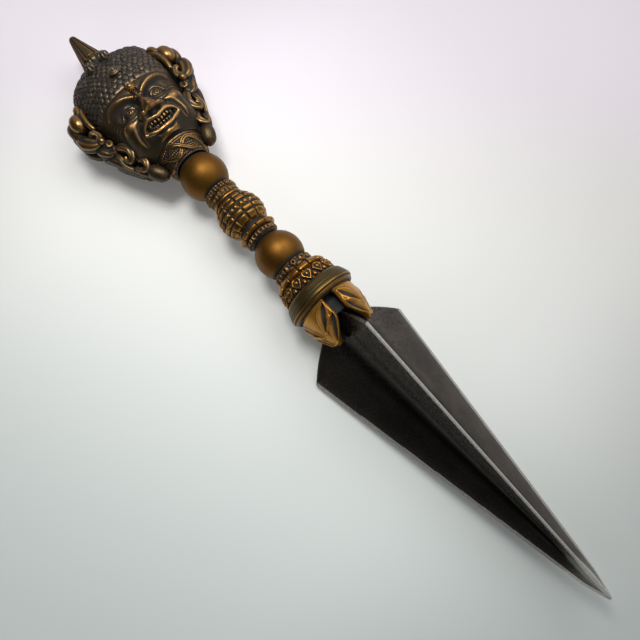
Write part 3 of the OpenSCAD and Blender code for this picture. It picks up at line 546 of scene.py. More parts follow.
def grid(rows, columns, close_rows=False):
    """The quads of a grid of points that closes on itself across its columns."""
    row = np.arange(rows if close_rows else rows - 1)[:, None]
    column = np.arange(columns)[None, :]
    row_after = (row + 1) % rows
    column_after = (column + 1) % columns
    corners = (row * columns + column, row * columns + column_after, row_after * columns + column_after,
               row_after * columns + column)
    return np.stack(corners, -1).reshape(-1, 4)


def end_fans(rows, columns):
    """Fans of triangles from the two points that follow a grid to its first and its last row."""
    total = rows * columns
    round_ = [(i, (i + 1) % columns) for i in range(columns)]
    last_row = total - columns
    return [(total, b, a) for a, b in round_] + [(total + 1, last_row + a, last_row + b) for a, b in round_]


print("a piece can be made from its points")

# %% [markdown]
# ## Turning and chasing
# Every piece on the grip was turned first and chased after. So one helper wraps a radius round the axis,
# where the radius may change along the piece and round it, and closes the skin through the bore that the
# tang fills. The pattern of each ring is then only a function of two numbers: s, the millimetres from the
# piece's horn side, and turn, the degrees from the top.

# %% Wrapping a radius round the axis
def smooth(t):
    """A soft step from 0 to 1."""
    t = np.clip(t, 0, 1)
    return t * t * (3 - 2 * t)


def moulding(knots, s, soft=0.15):
    """A turned outline through (station, radius) knots, with its corners rounded off."""
    stations, radii = zip(*knots)
    return np.mean([np.interp(s + shift, stations, radii) for shift in np.linspace(-soft, soft, 7)], axis=0)


def eased(values, limit, ease):
    """Values that stay under a limit, slowed down over the last stretch before it."""
    over = np.maximum(values - limit + ease, 0)
    return np.where(over > 0, limit - ease * np.exp(-over / ease), values)


def uneven(x, turn, size, seed):
    """The slight waver of hand work, the same each time for the same seed."""
    draw = np.random.default_rng(seed)
    total = 0
    waves = 8
    for _ in range(waves):
        along, around, phase = draw.uniform(-0.9, 0.9), draw.integers(-7, 8), draw.uniform(0, 2 * math.pi)
        total = total + np.sin(along * x + around * np.radians(turn) + phase)
    return size * total / waves


def wrap(x, radius, turn):
    """Points of rows of rings: x and radius by row and column, turn by column, in degrees."""
    x, radius, turn = np.broadcast_arrays(x, radius, np.radians(turn))
    return np.stack((x, radius * np.sin(turn), radius * np.cos(turn)), -1)


def chase(name, radius, finish, slot, columns=480, step=0.16, rub_and_shade=0.0):
    """Dresses a turned node with a skin whose radius follows radius(s, turn)."""
    start, end, _ = span(name)
    s = np.linspace(0, end - start, int((end - start) / step) + 2)[:, None]
    turn = np.arange(columns)[None, :] * 360 / columns
    r = radius(s, turn) + 0 * s * turn
    bore = np.full(columns, BORE)
    rows = [(start, bore), (start, r[0] * 0.9), (start, r[0] * 0.985)]
    rows += [(start + along, ring) for along, ring in zip(s[:, 0], r)]
    rows += [(end, r[-1] * 0.985), (end, r[-1] * 0.9), (end, bore)]
    points = np.concatenate([wrap(x, ring, turn[0]) for x, ring in rows])
    quads = grid(len(rows), columns, close_rows=True)
    from_ends = np.minimum(points[:, 0] - start, end - points[:, 0])
    rub_and_shade = rub_and_shade - 0.55 * (1 - smooth((from_ends - 0.1) / 0.75))
    return new_piece(name + "_skin", points, quads, finish, slot, name, rub_and_shade=rub_and_shade)


# %% [markdown]
# ## Forms for the patterns
# Up close the ornament is made of a few forms only: round bosses, tiles with soft corners, and ridges or
# grooves. Beads and tiles could be modelled once and repeated with an array modifier, but then they would
# be separate shells on the ring. As heights they melt into it, as on a casting, and cells round the ring
# repeat them.

# %% Pattern helpers
def cell(turn, count, shift=0.0):
    """How far round each point is from the middle of its cell, in degrees, with count cells in a turn."""
    pitch = 360 / count
    return (turn - shift + pitch / 2) % pitch - pitch / 2


def arc(degrees, radius):
    """Degrees round the axis as millimetres on the skin."""
    return np.radians(degrees) * radius


def dome(distance, radius, height):
    """A round boss."""
    return height * np.sqrt(np.clip(1 - (distance / radius) ** 2, 0, 1))


def pillow(across, along, half_w, half_l, corner, bank, height):
    """A tile with round corners whose sides bank up over the width bank to its height."""
    dx = np.abs(across) - half_w + corner
    dy = np.abs(along) - half_l + corner
    inside = corner - np.hypot(np.maximum(dx, 0), np.maximum(dy, 0)) - np.minimum(np.maximum(dx, dy), 0)
    t = np.clip(inside / bank, 0, 1)
    return height * np.sqrt(t * (2 - t))


def ridge(distance, width, height):
    """A soft ridge, or with a height below zero a groove, at distance zero."""
    return height * np.exp(-((distance / width) ** 2))


print("pattern helpers are ready")

# %% [markdown]
# ## Ball knobs
# The two knobs are the plain pieces of the grip, cast as balls, filed round and rubbed by hands for
# years. A lathe profile of a circle is enough, with a waver of a few hundredths of a millimetre, because
# a perfect ball reads as plastic.

# %% Ball knobs
NECK_FLAT = 8.3
TOOTH_FLAT = 6.3


def ball_knob(name, first_flat, seed):
    """A ball between two flats, its rows spaced evenly over the ball, with painted shade at its ends and
    low sides.
    """
    start, end, ball = span(name)
    centre = start + math.sqrt(ball**2 - first_flat**2)
    rows, columns = 150, 360
    turn = np.arange(columns)
    swing = np.linspace(math.asin(first_flat / ball), math.acos((centre - end) / ball), rows)[:, None]
    radius = (ball + uneven(8 * swing, turn[None, :], 0.06, seed)) * np.sin(swing)
    x = np.broadcast_to(centre - ball * np.cos(swing), radius.shape)
    skin = wrap(x, radius, turn[None, :]).reshape(-1, 3)
    bore = np.full(columns, BORE)
    points = np.concatenate([wrap(start, bore, turn), skin, wrap(end, bore, turn)])
    # Painted shade: darker where the rings meet it, underneath, and on the near side away from the lamps.
    rub_and_shade = -0.8 * (1 - smooth(np.minimum(points[:, 0] - start, end - points[:, 0]) / 1.9))
    rub_and_shade = rub_and_shade - 0.3 * smooth((-points[:, 2] - 1) / 7)
    rub_and_shade = rub_and_shade - 0.25 * smooth((-0.8 * points[:, 1] - 0.6 * points[:, 2] - 5) / 6)
    quads = grid(rows + 2, columns, close_rows=True)
    return new_piece(name + "_skin", points, quads, KNOB_BRONZE, "bronze", name, rub_and_shade=rub_and_shade)


ball_knob("upper_knob", NECK_FLAT, 3)
ball_knob("lower_knob", TOOTH_FLAT, 5)

# %% [markdown]
# ## Chased rings
# Between the knobs sit rings that were cast with their pattern and sharpened with punches. Each pattern
# is a sum of simple forms in cells round the ring: beads are domes, tiles are pillows, and rosettes are
# domes whose rim waves in and out. The turned outline under them is a moulding with rounded corners.

# %% Beads, rosettes and the plain ring
def beaded(s, turn):
    """Fifteen pods, each with two beads on its blade side and two short bars on the other."""
    _, _, outer = span("beaded_ring")
    base = moulding([(0, outer - 1.3), (0.4, outer - 0.9), (2.9, outer - 0.8), (3.4, outer - 1.4)], s)
    across = arc(cell(turn, 15, 12), outer)
    pod = pillow(across, s - 1.7, 1.55, 1.55, 0.5, 0.5, 0.35)
    beads = dome(np.hypot(np.abs(across) - 0.78, s - 2.35), 0.74, 0.72)
    bars = pillow(np.abs(across) - 0.78, s - 0.9, 0.58, 0.7, 0.4, 0.45, 0.4)
    return base + pod + np.maximum(beads, bars) + uneven(s, turn, 0.08, 11)


def rosettes(s, turn):
    """A band of small flowers between two thin rims."""
    _, _, outer = span("rosette_ring")
    base = moulding([(0, outer - 1.5), (0.3, outer - 1.1), (3.2, outer - 1.1), (3.5, outer - 1.5)], s)
    across = arc(cell(turn, 22), outer)
    out = np.hypot(across, s - 1.75)
    petals = 1.14 * (1 + 0.1 * np.cos(6 * np.arctan2(across, s - 1.75)))
    flower = dome(out, petals, 0.75) - ridge(out - 0.55, 0.13, 0.22)
    rims = ridge(s - 0.4, 0.22, 0.35) + ridge(s - 3.1, 0.22, 0.35)
    return base + np.maximum(flower, rims) + uneven(s, turn, 0.08, 12)


def plain(s, turn):
    """A plain roll."""
    _, _, outer = span("plain_ring")
    knots = [(0, outer - 1.1), (0.25, outer - 0.5), (0.8, outer), (1.5, outer), (2.1, outer - 0.5),
             (2.3, outer - 0.9)]
    return moulding(knots, s, 0.25) + uneven(s, turn, 0.05, 13)


chase("beaded_ring", beaded, DARK_BRONZE, "dark_bronze", rub_and_shade=-0.02)
chase("rosette_ring", rosettes, DARK_BRONZE, "dark_bronze", rub_and_shade=0.0)
chase("plain_ring", plain, BRONZE, "bronze", columns=360, rub_and_shade=-0.3)

# %% [markdown]
# ## Barrel knob
# The barrel is tiled: twelve columns and five bands, cut apart by dark grooves. The middle band carries
# two studs on each tile. The tiles follow the arc of the barrel, so the grooves are taken out of one
# smooth bulge and the tiles are left standing, round as pillows.

# %% Barrel knob
BAND_SHARES = (0.0, 0.2, 0.38, 0.58, 0.75, 1.0)
BARREL_COLUMNS = 12
BARREL_RIM_R = 9.0
STUD_BAND = 2


def barrel(s, turn):
    """A bowed barrel of tiles between grooves, with studs on its middle band."""
    start, end, outer = span("barrel_knob")
    length = end - start
    rise = outer - BARREL_RIM_R
    bow = (length**2 / 4 + rise**2) / (2 * rise)
    body = outer - bow + np.sqrt(bow**2 - (s - length / 2) ** 2)
    across = arc(cell(turn, BARREL_COLUMNS, 15), body)
    half_w = math.pi * body / BARREL_COLUMNS - 0.27
    radius = body - 1.0
    for band, (low, high) in enumerate(zip(BAND_SHARES, BAND_SHARES[1:])):
        middle, half_l = length * (low + high) / 2, length * (high - low) / 2 - 0.27
        tile = pillow(across, s - middle, half_w, half_l, 0.75, 1.15, 0.98)
        if band == STUD_BAND:
            studs = dome(np.hypot(np.abs(across) - 1.3, s - middle), 1.25, 0.98)
            tile = np.maximum(tile * 0.45, studs)
        radius = np.maximum(radius, body - 1.0 + tile)
    return radius + uneven(s, turn, 0.07, 14)


chase("barrel_knob", barrel, BRONZE, "bronze", columns=540)

# %% [markdown]
# ## Segments and teeth
# Two narrow rings part the barrel from the lower knob. One is a ridge cut into blocks beside a smooth
# valley, and the other has pairs of short bars like teeth. They could share one function, but their
# outlines have nothing in common, so each has its own.

# %% Segments and teeth
def segments(s, turn):
    """A smooth valley on the horn side, then twelve blocks along a ridge."""
    _, _, outer = span("segment_ring")
    knots = [(0, outer - 2.4), (0.5, outer - 3.1), (1.5, outer - 3.0), (2.3, outer - 1.5),
             (3.1, outer - 0.3), (3.8, outer - 0.1), (4.5, outer - 0.9), (5.2, outer - 2.1)]
    across = arc(cell(turn, 12, 15), outer)
    half_w = math.pi * outer / 12 - 0.17
    block = pillow(across, s - 3.6, half_w, 1.45, 0.6, 0.7, 0.7)
    return moulding(knots, s, 0.3) - 0.7 * smooth((s - 1.3) / 0.7) + block + uneven(s, turn, 0.06, 15)


def teeth(s, turn):
    """Twelve tiles, each with two short bars that lie along the axis."""
    _, _, outer = span("toothed_ring")
    knots = [(0, outer - 1.6), (0.4, outer - 1.2), (2.6, outer - 1.1), (3.5, outer - 1.8),
             (4.1, outer - 2.2)]
    across = arc(cell(turn, 12, 15), outer)
    tile = pillow(across, s - 1.9, 2.2, 1.75, 0.4, 0.4, 0.3)
    bars = pillow(np.abs(across) - 1.02, s - 1.75, 0.72, 1.3, 0.6, 0.6, 0.9)
    return moulding(knots, s) + np.maximum(tile, bars) + uneven(s, turn, 0.07, 16)


chase("segment_ring", segments, BRONZE, "bronze", rub_and_shade=-0.06)
chase("toothed_ring", teeth, DARK_BRONZE, "dark_bronze", rub_and_shade=-0.1)

# %% [markdown]
# ## Drilled bosses and bricks
# Below the lower knob come a ring of small bosses, each drilled in its middle, and a cone of bricks with
# well rubbed tops. A drilled hole could be cut with a boolean for each boss. As a height it is one
# dip with a steep side, and it keeps the grid of quads whole.

# %% Drilled bosses and bricks
def drilled(s, turn):
    """Twelve round bosses, each a ring round a drilled hole."""
    _, _, outer = span("drilled_ring")
    knots = [(0, outer - 1.7), (0.5, outer - 1.2), (4.0, outer - 0.9), (4.7, outer - 1.3)]
    across = arc(cell(turn, 12), outer)
    out = np.hypot(across, s - 2.3)
    boss = dome(out, 2.05, 1.05)
    hole = 1.5 * (1 - smooth((out - 0.45) / 0.3))
    collar = ridge(out - 0.95, 0.25, 0.15)
    between = dome(np.hypot(arc(cell(turn, 12, 15), outer), s - 2.3), 0.55, 0.5)
    return moulding(knots, s) + np.maximum(boss + collar, between) - hole + uneven(s, turn, 0.07, 17)


def bricks(s, turn):
    """Fourteen bricks round a cone."""
    _, _, outer = span("brick_ring")
    knots = [(0, outer - 3.9), (1.3, outer - 1.4), (2.6, outer - 0.35), (3.4, outer - 0.1),
             (4.0, outer - 0.3), (4.8, outer - 1.1)]
    across = arc(cell(turn, 14, 6.4), outer)
    brick = pillow(across, s - 2.4, math.pi * outer / 14 - 0.25, 2.0, 0.55, 0.8, 0.95)
    return moulding(knots, s, 0.3) - 0.92 + brick + uneven(s, turn, 0.08, 18)


chase("drilled_ring", drilled, DARK_BRONZE, "dark_bronze", rub_and_shade=-0.08)
chase("brick_ring", bricks, BRONZE, "bronze", columns=540, rub_and_shade=0.26)

# %% [markdown]
# ## Petal ring
# Fourteen petals point at the blade. Each has a broad raised rim that runs to a point like a V and a bead
# in its shallow dish, and a small bead stands between two tips. The rim is a band at a fixed distance
# inside the outline of the petal, so one measure of depth inside the outline gives both rim and dish.

# %% Petal ring
PETALS = 14


def petals(s, turn):
    """Pointed petals with a rim, a dish and a bead, and a bead between each two tips."""
    start, end, outer = span("petal_ring")
    length = end - start
    knots = [(0, outer - 2.9), (0.8, outer - 2.2), (length - 0.6, outer - 1.9), (length, outer - 2.4)]
    base = moulding(knots, s)
    across = np.abs(arc(cell(turn, PETALS), outer))
    widest, tip = 2.3, length - 0.2
    half_w = 3.2 * np.where(s < widest, np.sqrt(np.clip(1 - ((widest - s) / widest) ** 2, 0, 1)),
                            np.clip((tip - s) / (tip - widest), 0, 1) ** 0.8)
    inside = (half_w - across) * 0.8
    rim = 1.35 * np.sqrt(np.clip(inside / 0.5, 0, 1)) * (inside > 0)
    dish = 0.5 * smooth((inside - 0.85) / 0.45)
    out = np.hypot(across, s - 2.4)
    petal = rim - dish + dome(out, 1.0, 0.85) * (inside > 0)
    beside = arc(np.abs(cell(turn, PETALS, 180 / PETALS)), outer)
    bead = dome(np.hypot(beside, (s - (length - 1.5)) * 0.9), 1.25 - 0.25 * (s - length + 1.5), 1.2)
    return base + np.maximum(petal, bead) + uneven(s, turn, 0.08, 19)


chase("petal_ring", petals, BRONZE, "bronze", columns=560, step=0.14, rub_and_shade=0.02)

# %% [markdown]
# ## Guard
# The guard is a bell with its mouth at the leaves: a broad smooth flare, a fine groove on each side of
# its crest and a short fall to the socket. It is a turned piece with nothing chased, so the finish and
# the waver of the outline do the work.

# %% Guard
def bell(s, turn):
    """A flare to the crest, with a groove on each side of it, and a fall to the leaves."""
    start, end, outer = span("guard")
    crest = 0.68 * (end - start)
    flare = [(0, outer - 3.2), (0.3, outer - 2.6), (1.4, outer - 1.7), (3.6, outer - 0.9)]
    rim = [(-2.0, -0.5), (-1.7, -0.6), (-1.4, -0.35), (-0.5, -0.05), (0.3, 0), (0.7, -0.2), (1.0, -1.1),
           (1.35, -0.75), (2.2, -1.3)]
    knots = flare + [(crest + along, outer + out) for along, out in rim] + [(end - start, outer - 2.8)]
    return moulding(knots, s, 0.16) + uneven(s, turn, 0.12, 20)


chase("guard", bell, BRONZE, "bronze", columns=540, rub_and_shade=-0.12)

# %% [markdown]
# ## Socket core
# Between the leaves shows the plain dark core that they clasp. A cylinder from Blender's menu would nearly
# do, but the turning helper gives it the waver of a rough casting and the bore for the tang as well.

# %% Socket core
def core(s, turn):
    """The dark core between the leaves, left rough from the mould."""
    _, _, outer = span("socket_core")
    return outer - 0.15 + uneven(s, turn, 0.15, 21) + 0.05 * np.sin(9 * s)


chase("socket_core", core, DARK_BRONZE, "dark_bronze", columns=360, rub_and_shade=-0.4)

# %% [markdown]
# ## Blade
# The blade has three fins at a third of a turn. Between two fins its face is a hollow, like a deep
# fuller, and each fin ends in a narrow flat edge between two ground bevels. One section is drawn as a
# curve from the edge of a fin to the bottom of the hollow, and is repeated for the six faces. Stations
# along the blade scale it, from the shoulders to the point, where the hollows give way to plain facets.

# %% Blade outline
BLADE_START, BLADE_END = span("socket_core")[1], span("blade")[1]
FIN_R = (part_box("blade")[1].z - AXIS_Z) / MM
SHOULDER = 15
ROOT_R = 5.9
EDGE_W = 1.45
STRIP_W = 2.4
TIP_LEN, TIP_R, END_R = 14, 5.6, 0.7
POINT_LEN = 35
PLAIN_LEN = 26
BEVEL = 1.7


def mix(a, b, t):
    """From a at t = 0 to b at t = 1."""
    return a + (b - a) * t


def fin_radius(x):
    """Radius of the fins' edges at a station."""
    s = x - BLADE_START - SHOULDER
    straight = BLADE_END - BLADE_START - SHOULDER - TIP_LEN
    shoulder = 10.3 + (FIN_R - 10.3) * (1 + s / SHOULDER) + 1.6 * np.sin(-np.pi * s / SHOULDER)
    point = TIP_R + (END_R - TIP_R) * np.clip((s - straight) / TIP_LEN, 0, 1) ** 1.25
    taper = FIN_R - (FIN_R - TIP_R) * s / straight
    return np.where(s < 0, shoulder, np.where(s < straight, taper, point))


def root_radius(x):
    """Radius of the bottom of the hollows at a station."""
    share = ROOT_R / FIN_R
    share = share + (0.46 - share) * smooth((x - BLADE_END + POINT_LEN) / (POINT_LEN - 8))
    return np.where(x < BLADE_START + SHOULDER, ROOT_R, fin_radius(x) * share)


def face_curve(x, t):
    """Height on the fin and half thickness at t from 0 at the edge to 1 in the hollow."""
    r, root = fin_radius(x), root_radius(x)
    half = EDGE_W / 2 * (0.6 + 0.4 * r / FIN_R)
    edge = np.stack((r + 0 * t, half + 0 * t), -1)
    middle = np.stack((0.3 * r + 0 * t, 1.7 * half + 0 * t), -1)
    bottom = np.stack((root * 0.5 + 0 * t, root * math.sin(math.pi / 3) + 0 * t), -1)
    plain = smooth((x - BLADE_END + PLAIN_LEN) / 8)[..., None]
    middle = mix(middle, (edge + bottom) / 2, plain)
    t = t[..., None]
    curve = (1 - t) ** 2 * edge + 2 * t * (1 - t) * middle + t**2 * bottom
    across = 2 * (1 - t) * (middle - edge) + 2 * t * (bottom - middle)
    normal = np.stack((across[..., 1], -across[..., 0]), -1)
    return curve, normal / np.linalg.norm(normal, axis=-1, keepdims=True)


# %% [markdown]
# ## Faces of the blade
# The section is now carried along the blade. Each of the six faces is a strip of points from the edge of
# a fin to the bottom of the hollow, with the bevel and the fuller pressed into it. Planes that cut a
# solid could leave the same facets, but here the marks for ground steel with its painted sheen and for
# the painted shade of the hollows come from the same numbers as the shape, and so they always lie on it.

# %% Blade
FULLER_END = 368.0


def fin_face(x, t, wear_and_sheen):
    """One face of a fin with its bevel and fuller, marks for ground steel and painted sheen, and painted
    shade in the fuller.
    """
    curve, normal = face_curve(x, t)
    r = fin_radius(x)
    inward = r - curve[..., 0]
    bevel = 0.45 * curve[:, :1, 1] * np.clip(1 - inward / BEVEL, 0, 1)
    cut = 0.1 * smooth((inward - np.minimum(STRIP_W, 0.3 * r)) / 0.8) * smooth((BLADE_END - 3 - x) / 9)
    fade = smooth((FULLER_END - x) / 20)
    fuller = smooth((inward / r - (0.98 - 0.36 * fade)) / 0.2) * fade * smooth((x - BLADE_START - 4) / 8)
    # Painted sheen: paler from the bevel down the face by the fin's share, and paler on the last stretch to
    # the point.
    strip_and_sheen = np.where(inward < BEVEL, 0.75, wear_and_sheen * np.exp((BEVEL - inward) / 3.2))
    strip_and_sheen = strip_and_sheen + 0.3 * smooth((x - BLADE_END + 24) / 12)
    strip_and_sheen = np.where(inward < 0.02, 0.8, strip_and_sheen) * smooth((x - BLADE_START - SHOULDER + 0.6) / 0.6)
    return curve - normal * (bevel + cut + 0.5 * fuller)[..., None], strip_and_sheen, 0.85 * fuller


def forge_blade():
    """Six faces round the axis, from the flat root to the point, with the marks that the steel reads."""
    steps = 56
    t = np.linspace(0, 1, steps + 1) ** 1.6
    stations = np.concatenate([
        np.linspace(BLADE_START, BLADE_START + SHOULDER, 40),
        np.linspace(BLADE_START + SHOULDER, BLADE_END - POINT_LEN, 120)[1:],
        np.linspace(BLADE_END - POINT_LEN, BLADE_END - 0.02, 90)[1:],
    ])[:, None]
    sides, strip_sheens, painted_shade_parts = [], [], []
    # The upper fin takes the most painted sheen.
    for fin, wear_and_sheen in enumerate((0.24, 0.09, 0.09)):
        curve, strip_sheen, painted_shade_part = fin_face(stations, t[None, :], wear_and_sheen)
        turn = math.radians(120 * fin)
        for side, part in ((-1, slice(steps, None, -1)), (1, slice(0, steps))):
            height, half = curve[:, part, 0], side * curve[:, part, 1]
            y = height * math.sin(turn) + half * math.cos(turn)
            z = height * math.cos(turn) - half * math.sin(turn)
            sides.append(np.stack((np.broadcast_to(stations, y.shape), y, z), -1))
            strip_sheens.append(strip_sheen[:, part])
            painted_shade_parts.append(painted_shade_part[:, part])
    skin = np.concatenate(sides, 1)
    waver = uneven(skin[..., 0] * 0.12, np.degrees(np.arctan2(skin[..., 1], skin[..., 2])), 0.05, 22)
    from_axis = np.linalg.norm(skin[..., 1:], axis=-1, keepdims=True)
    skin[..., 1:] *= (1 + waver[..., None] / np.maximum(4, from_axis))
    rows, columns = skin.shape[:2]
    points = np.concatenate([skin.reshape(-1, 3), [[BLADE_START, 0, 0], [BLADE_END, 0, 0]]])
    piece = new_piece("blade_forged", points, grid(rows, columns), STEEL, "blade_steel", "blade",
                      fans=end_fans(rows, columns))
    piece.data.set_sharp_from_angle(angle=math.radians(40))
    near_root = 1 - smooth((skin[..., 0] - BLADE_START) / 70)
    marks = (("ground_and_sheen", np.concatenate(strip_sheens, 1)), ("hollow", np.concatenate(painted_shade_parts, 1)),
             ("rust", 0.15 + 0.85 * near_root))
    for label, values in marks:
        write_mark(piece.data, label, np.append(values.ravel(), [0, 0]))
    return piece


forge_blade()

# %% [markdown]
# ## Leaves
# Three leaves clasp the root of the blade, one over each hollow. Each one is cast with a raised margin
# and two almond flutes on each half, which start beside a fin and sweep to the middle of the leaf. The
# outside is a turned shape, cut by two planes that keep clear of the fins. The sides are undercut, so
# that the margin looks thin, and the inside lies on the socket and then in the hollow of the blade.

# %% Leaves
LEAF_START, LEAF_END, _ = span("leaf_left")
LEAF_LEN = LEAF_END - LEAF_START
LEAF_R = 15.6
LEAF_TIP_R = 12.2
LEAF_GAP = 2.8
CORE_R = span("socket_core")[2]
LEAF_BEND = BLADE_START - 1


def nearest_on_line(across, along, start, end):
    """Distance from a line in the plane, and the share of the way along it."""
    line = np.subtract(end, start)
    share = ((across - start[0]) * line[0] + (along - start[1]) * line[1]) / (line @ line)
    share = np.clip(share, 0, 1)
    return np.hypot(across - start[0] - share * line[0], along - start[1] - share * line[1]), share


def leaf_half_angle(x, radius):
    """Degrees from the middle of a leaf to its side at a station."""
    t = np.clip((x - LEAF_BEND) / (LEAF_END - LEAF_BEND), 0, 1)
    full = LEAF_R * math.sin(math.radians(60) - math.asin(LEAF_GAP / LEAF_R))
    half_w = full + (1.2 - full) * t**1.6
    planes = 60 - np.degrees(np.arcsin(LEAF_GAP / radius))
    width = np.degrees(np.arcsin(np.clip(half_w / radius, 0, 1)))
    return -2.5 * np.logaddexp(-planes / 2.5, -width / 2.5)


def leaf_relief(s, side, edge):
    """Margin and flutes: s from the guard, side millimetres from the middle, edge from the margin."""
    rim = ridge(edge - 0.8, 0.8, 0.45)
    flutes = 0
    for start in (0.10, 0.42):
        first = (LEAF_R * math.radians(43), start * LEAF_LEN)
        last = (LEAF_R * math.radians(8), (start + 0.5) * LEAF_LEN)
        away, share = nearest_on_line(np.abs(side), s, first, last)
        width = 0.3 + 2.0 * np.sin(math.pi * np.clip(share, 0.02, 0.98) ** 0.8)
        flutes = flutes - 1.25 * (1 - smooth(away / width)) + ridge(away - width - 0.1, 0.6, 0.4)
    return rim + flutes


def hollow_radius(x, degrees):
    """Radius of the blade's face at a station, by degrees from the bottom of the hollow."""
    curve, _ = face_curve(np.array(x), np.linspace(0, 1, 60))
    away = 60 - np.degrees(np.arctan2(curve[:, 1], curve[:, 0]))
    return np.interp(np.abs(degrees), away[::-1], np.hypot(curve[:, 0], curve[:, 1])[::-1])


def leaf(name, angle):
    """A leaf round an angle from the top, undercut at its sides and lying on the socket and the blade."""
    rows, columns = 130, 150
    x = LEAF_START + np.linspace(0, LEAF_LEN, rows)[:, None]
    s = x - LEAF_START
    outline = [(0, LEAF_R - 0.5), (0.8, LEAF_R), (0.35 * LEAF_LEN, LEAF_R - 0.1),
               (0.62 * LEAF_LEN, 0.65 * LEAF_R + 0.35 * LEAF_TIP_R),
               (0.86 * LEAF_LEN, 0.28 * LEAF_R + 0.72 * LEAF_TIP_R), (LEAF_LEN - 0.5, LEAF_TIP_R),
               (LEAF_LEN, LEAF_TIP_R - 0.7)]
    outer = moulding(outline, s, 0.5)
    v = np.sin(np.linspace(-math.pi / 2, math.pi / 2, columns))[None, :] * 0.6
    v = v + 0.4 * np.linspace(-1, 1, columns)[None, :]
    half = leaf_half_angle(x, outer)
    side = arc(v * half, outer)
    edge = np.minimum(arc((1 - np.abs(v)) * half, outer), LEAF_LEN - s)
    roll = 0.8 * (1 - np.sqrt(np.clip(edge / 0.9, 0, 1)))
    relief = leaf_relief(s, side, edge) * smooth((s - 0.4) / 1.5) * smooth(half / 20)
    outside = outer + relief - roll
    outside = outside + uneven(s, side * 6, 0.08, 30 + int(angle) % 7)
    inside = np.full_like(outside, CORE_R + 0.05)
    past = x[:, 0] > BLADE_START
    for row in np.flatnonzero(past):
        blade = hollow_radius(x[row, 0], 0.35 * v[0] * half[row]) + 0.15
        inside[row] = np.minimum(blade, outside[row] - 1.6)
    lip, throat = outside - 1.0, 0.45 * outside + 0.55 * inside

    def undercut(column):
        """Two points on one side: under the lip, and deeper in."""
        share = v[0, column]
        near = wrap(x, lip[:, [column]], angle + share * half)
        return [near, wrap(x, throat[:, [column]], angle + 0.62 * share * half)]

    outer_side, inner_side = wrap(x, outside, angle + v * half), wrap(x, inside, angle + 0.35 * v * half)
    rings = np.concatenate([outer_side, *undercut(-1), inner_side[:, ::-1], *undercut(0)[::-1]], 1)
    ring_size = rings.shape[1]
    quads = list(grid(rows, ring_size))
    pairs = [(i, 2 * columns + 1 - i) for i in range(columns)]
    lids = [(a, b, far_b, far_a) for (a, far_a), (b, far_b) in zip(pairs, pairs[1:])]
    lids.append((columns - 1, columns, columns + 1, columns + 2))
    lids.append((ring_size - 2, ring_size - 1, 0, ring_size - 3))
    for row in (0, rows - 1):
        base = row * ring_size
        quads += [[base + k for k in (lid if row == 0 else lid[::-1])] for lid in lids]
    # Painted shade: a leaf is darker the lower it lies. Its flutes take crust.
    rub_and_shade = 0.3 - 0.32 * (1 - smooth((rings[..., 2] + 3) / 11))
    rub_and_shade[:, :columns] -= 0.5 * smooth((-relief - 0.45) / 0.8)
    return new_piece(name + "_cast", rings.reshape(-1, 3), quads, LEAF_BRONZE, "bronze", name,
                     rub_and_shade=rub_and_shade.ravel(), deepest=0.2)


for name, angle in (("leaf_left", 60), ("leaf_right", -60), ("leaf_back", 180)):
    leaf(name, angle)

# %% [markdown]
# ## Tubes and buttons
# Curls, coils and strands are tubes swept along a path, thick in the middle and thin at the ends. Beads
# and lobes are buttons: caps of a ball round an axis of their own, with a pattern on them. Two helpers
# make both, and a voxel remesh can melt several of them into one casting.

# %% Tubes and buttons
def smooth_path(knots, count):
    """Points on a smooth curve through rows of numbers."""
    knots = np.asarray(knots, float)
    padded = np.vstack([2 * knots[0] - knots[1], knots, 2 * knots[-1] - knots[-2]])
    t = np.linspace(0, len(knots) - 1 - 1e-9, count)
    i = t.astype(int)
    f = (t - i)[:, None]
    p0, p1, p2, p3 = (padded[i + k] for k in range(4))
    return 0.5 * (2 * p1 + (p2 - p0) * f + (2 * p0 - 5 * p1 + 4 * p2 - p3) * f**2
                  + (3 * p1 - p0 - 3 * p2 + p3) * f**3)


def tube(path, radii, sides=24, flute=0.0, flutes=5):
    """A closed tube: points, quads and end fans. flute cuts grooves along it."""
    tangent = np.gradient(path, axis=0)
    tangent /= np.linalg.norm(tangent, axis=1, keepdims=True)
    up = np.array([0.0, 0.0, 1.0]) - tangent * tangent[:, 2:3]
    up /= np.maximum(np.linalg.norm(up, axis=1, keepdims=True), 1e-6)
    out = np.cross(tangent, up)
    phi = np.linspace(0, 2 * math.pi, sides, endpoint=False)
    grooves = 1 - flute * (0.5 + 0.5 * np.cos(flutes * phi)) ** 2
    ring = radii[:, None] * grooves[None, :]
    points = path[:, None, :] + (ring * np.cos(phi))[..., None] * out[:, None, :]
    points = points + (ring * np.sin(phi))[..., None] * up[:, None, :]
    rows = len(path)
    points = np.vstack([points.reshape(-1, 3), path[0], path[-1]])
    return points, grid(rows, sides), end_fans(rows, sides)


def round_ends(count, taper=0.5):
    """Shares of the full radius along a tube that swells from a round end and closes again."""
    t = np.linspace(0, 1, count)
    return np.clip(np.sin(math.pi * np.clip(t, 0.004, 0.996)), 0, 1) ** taper


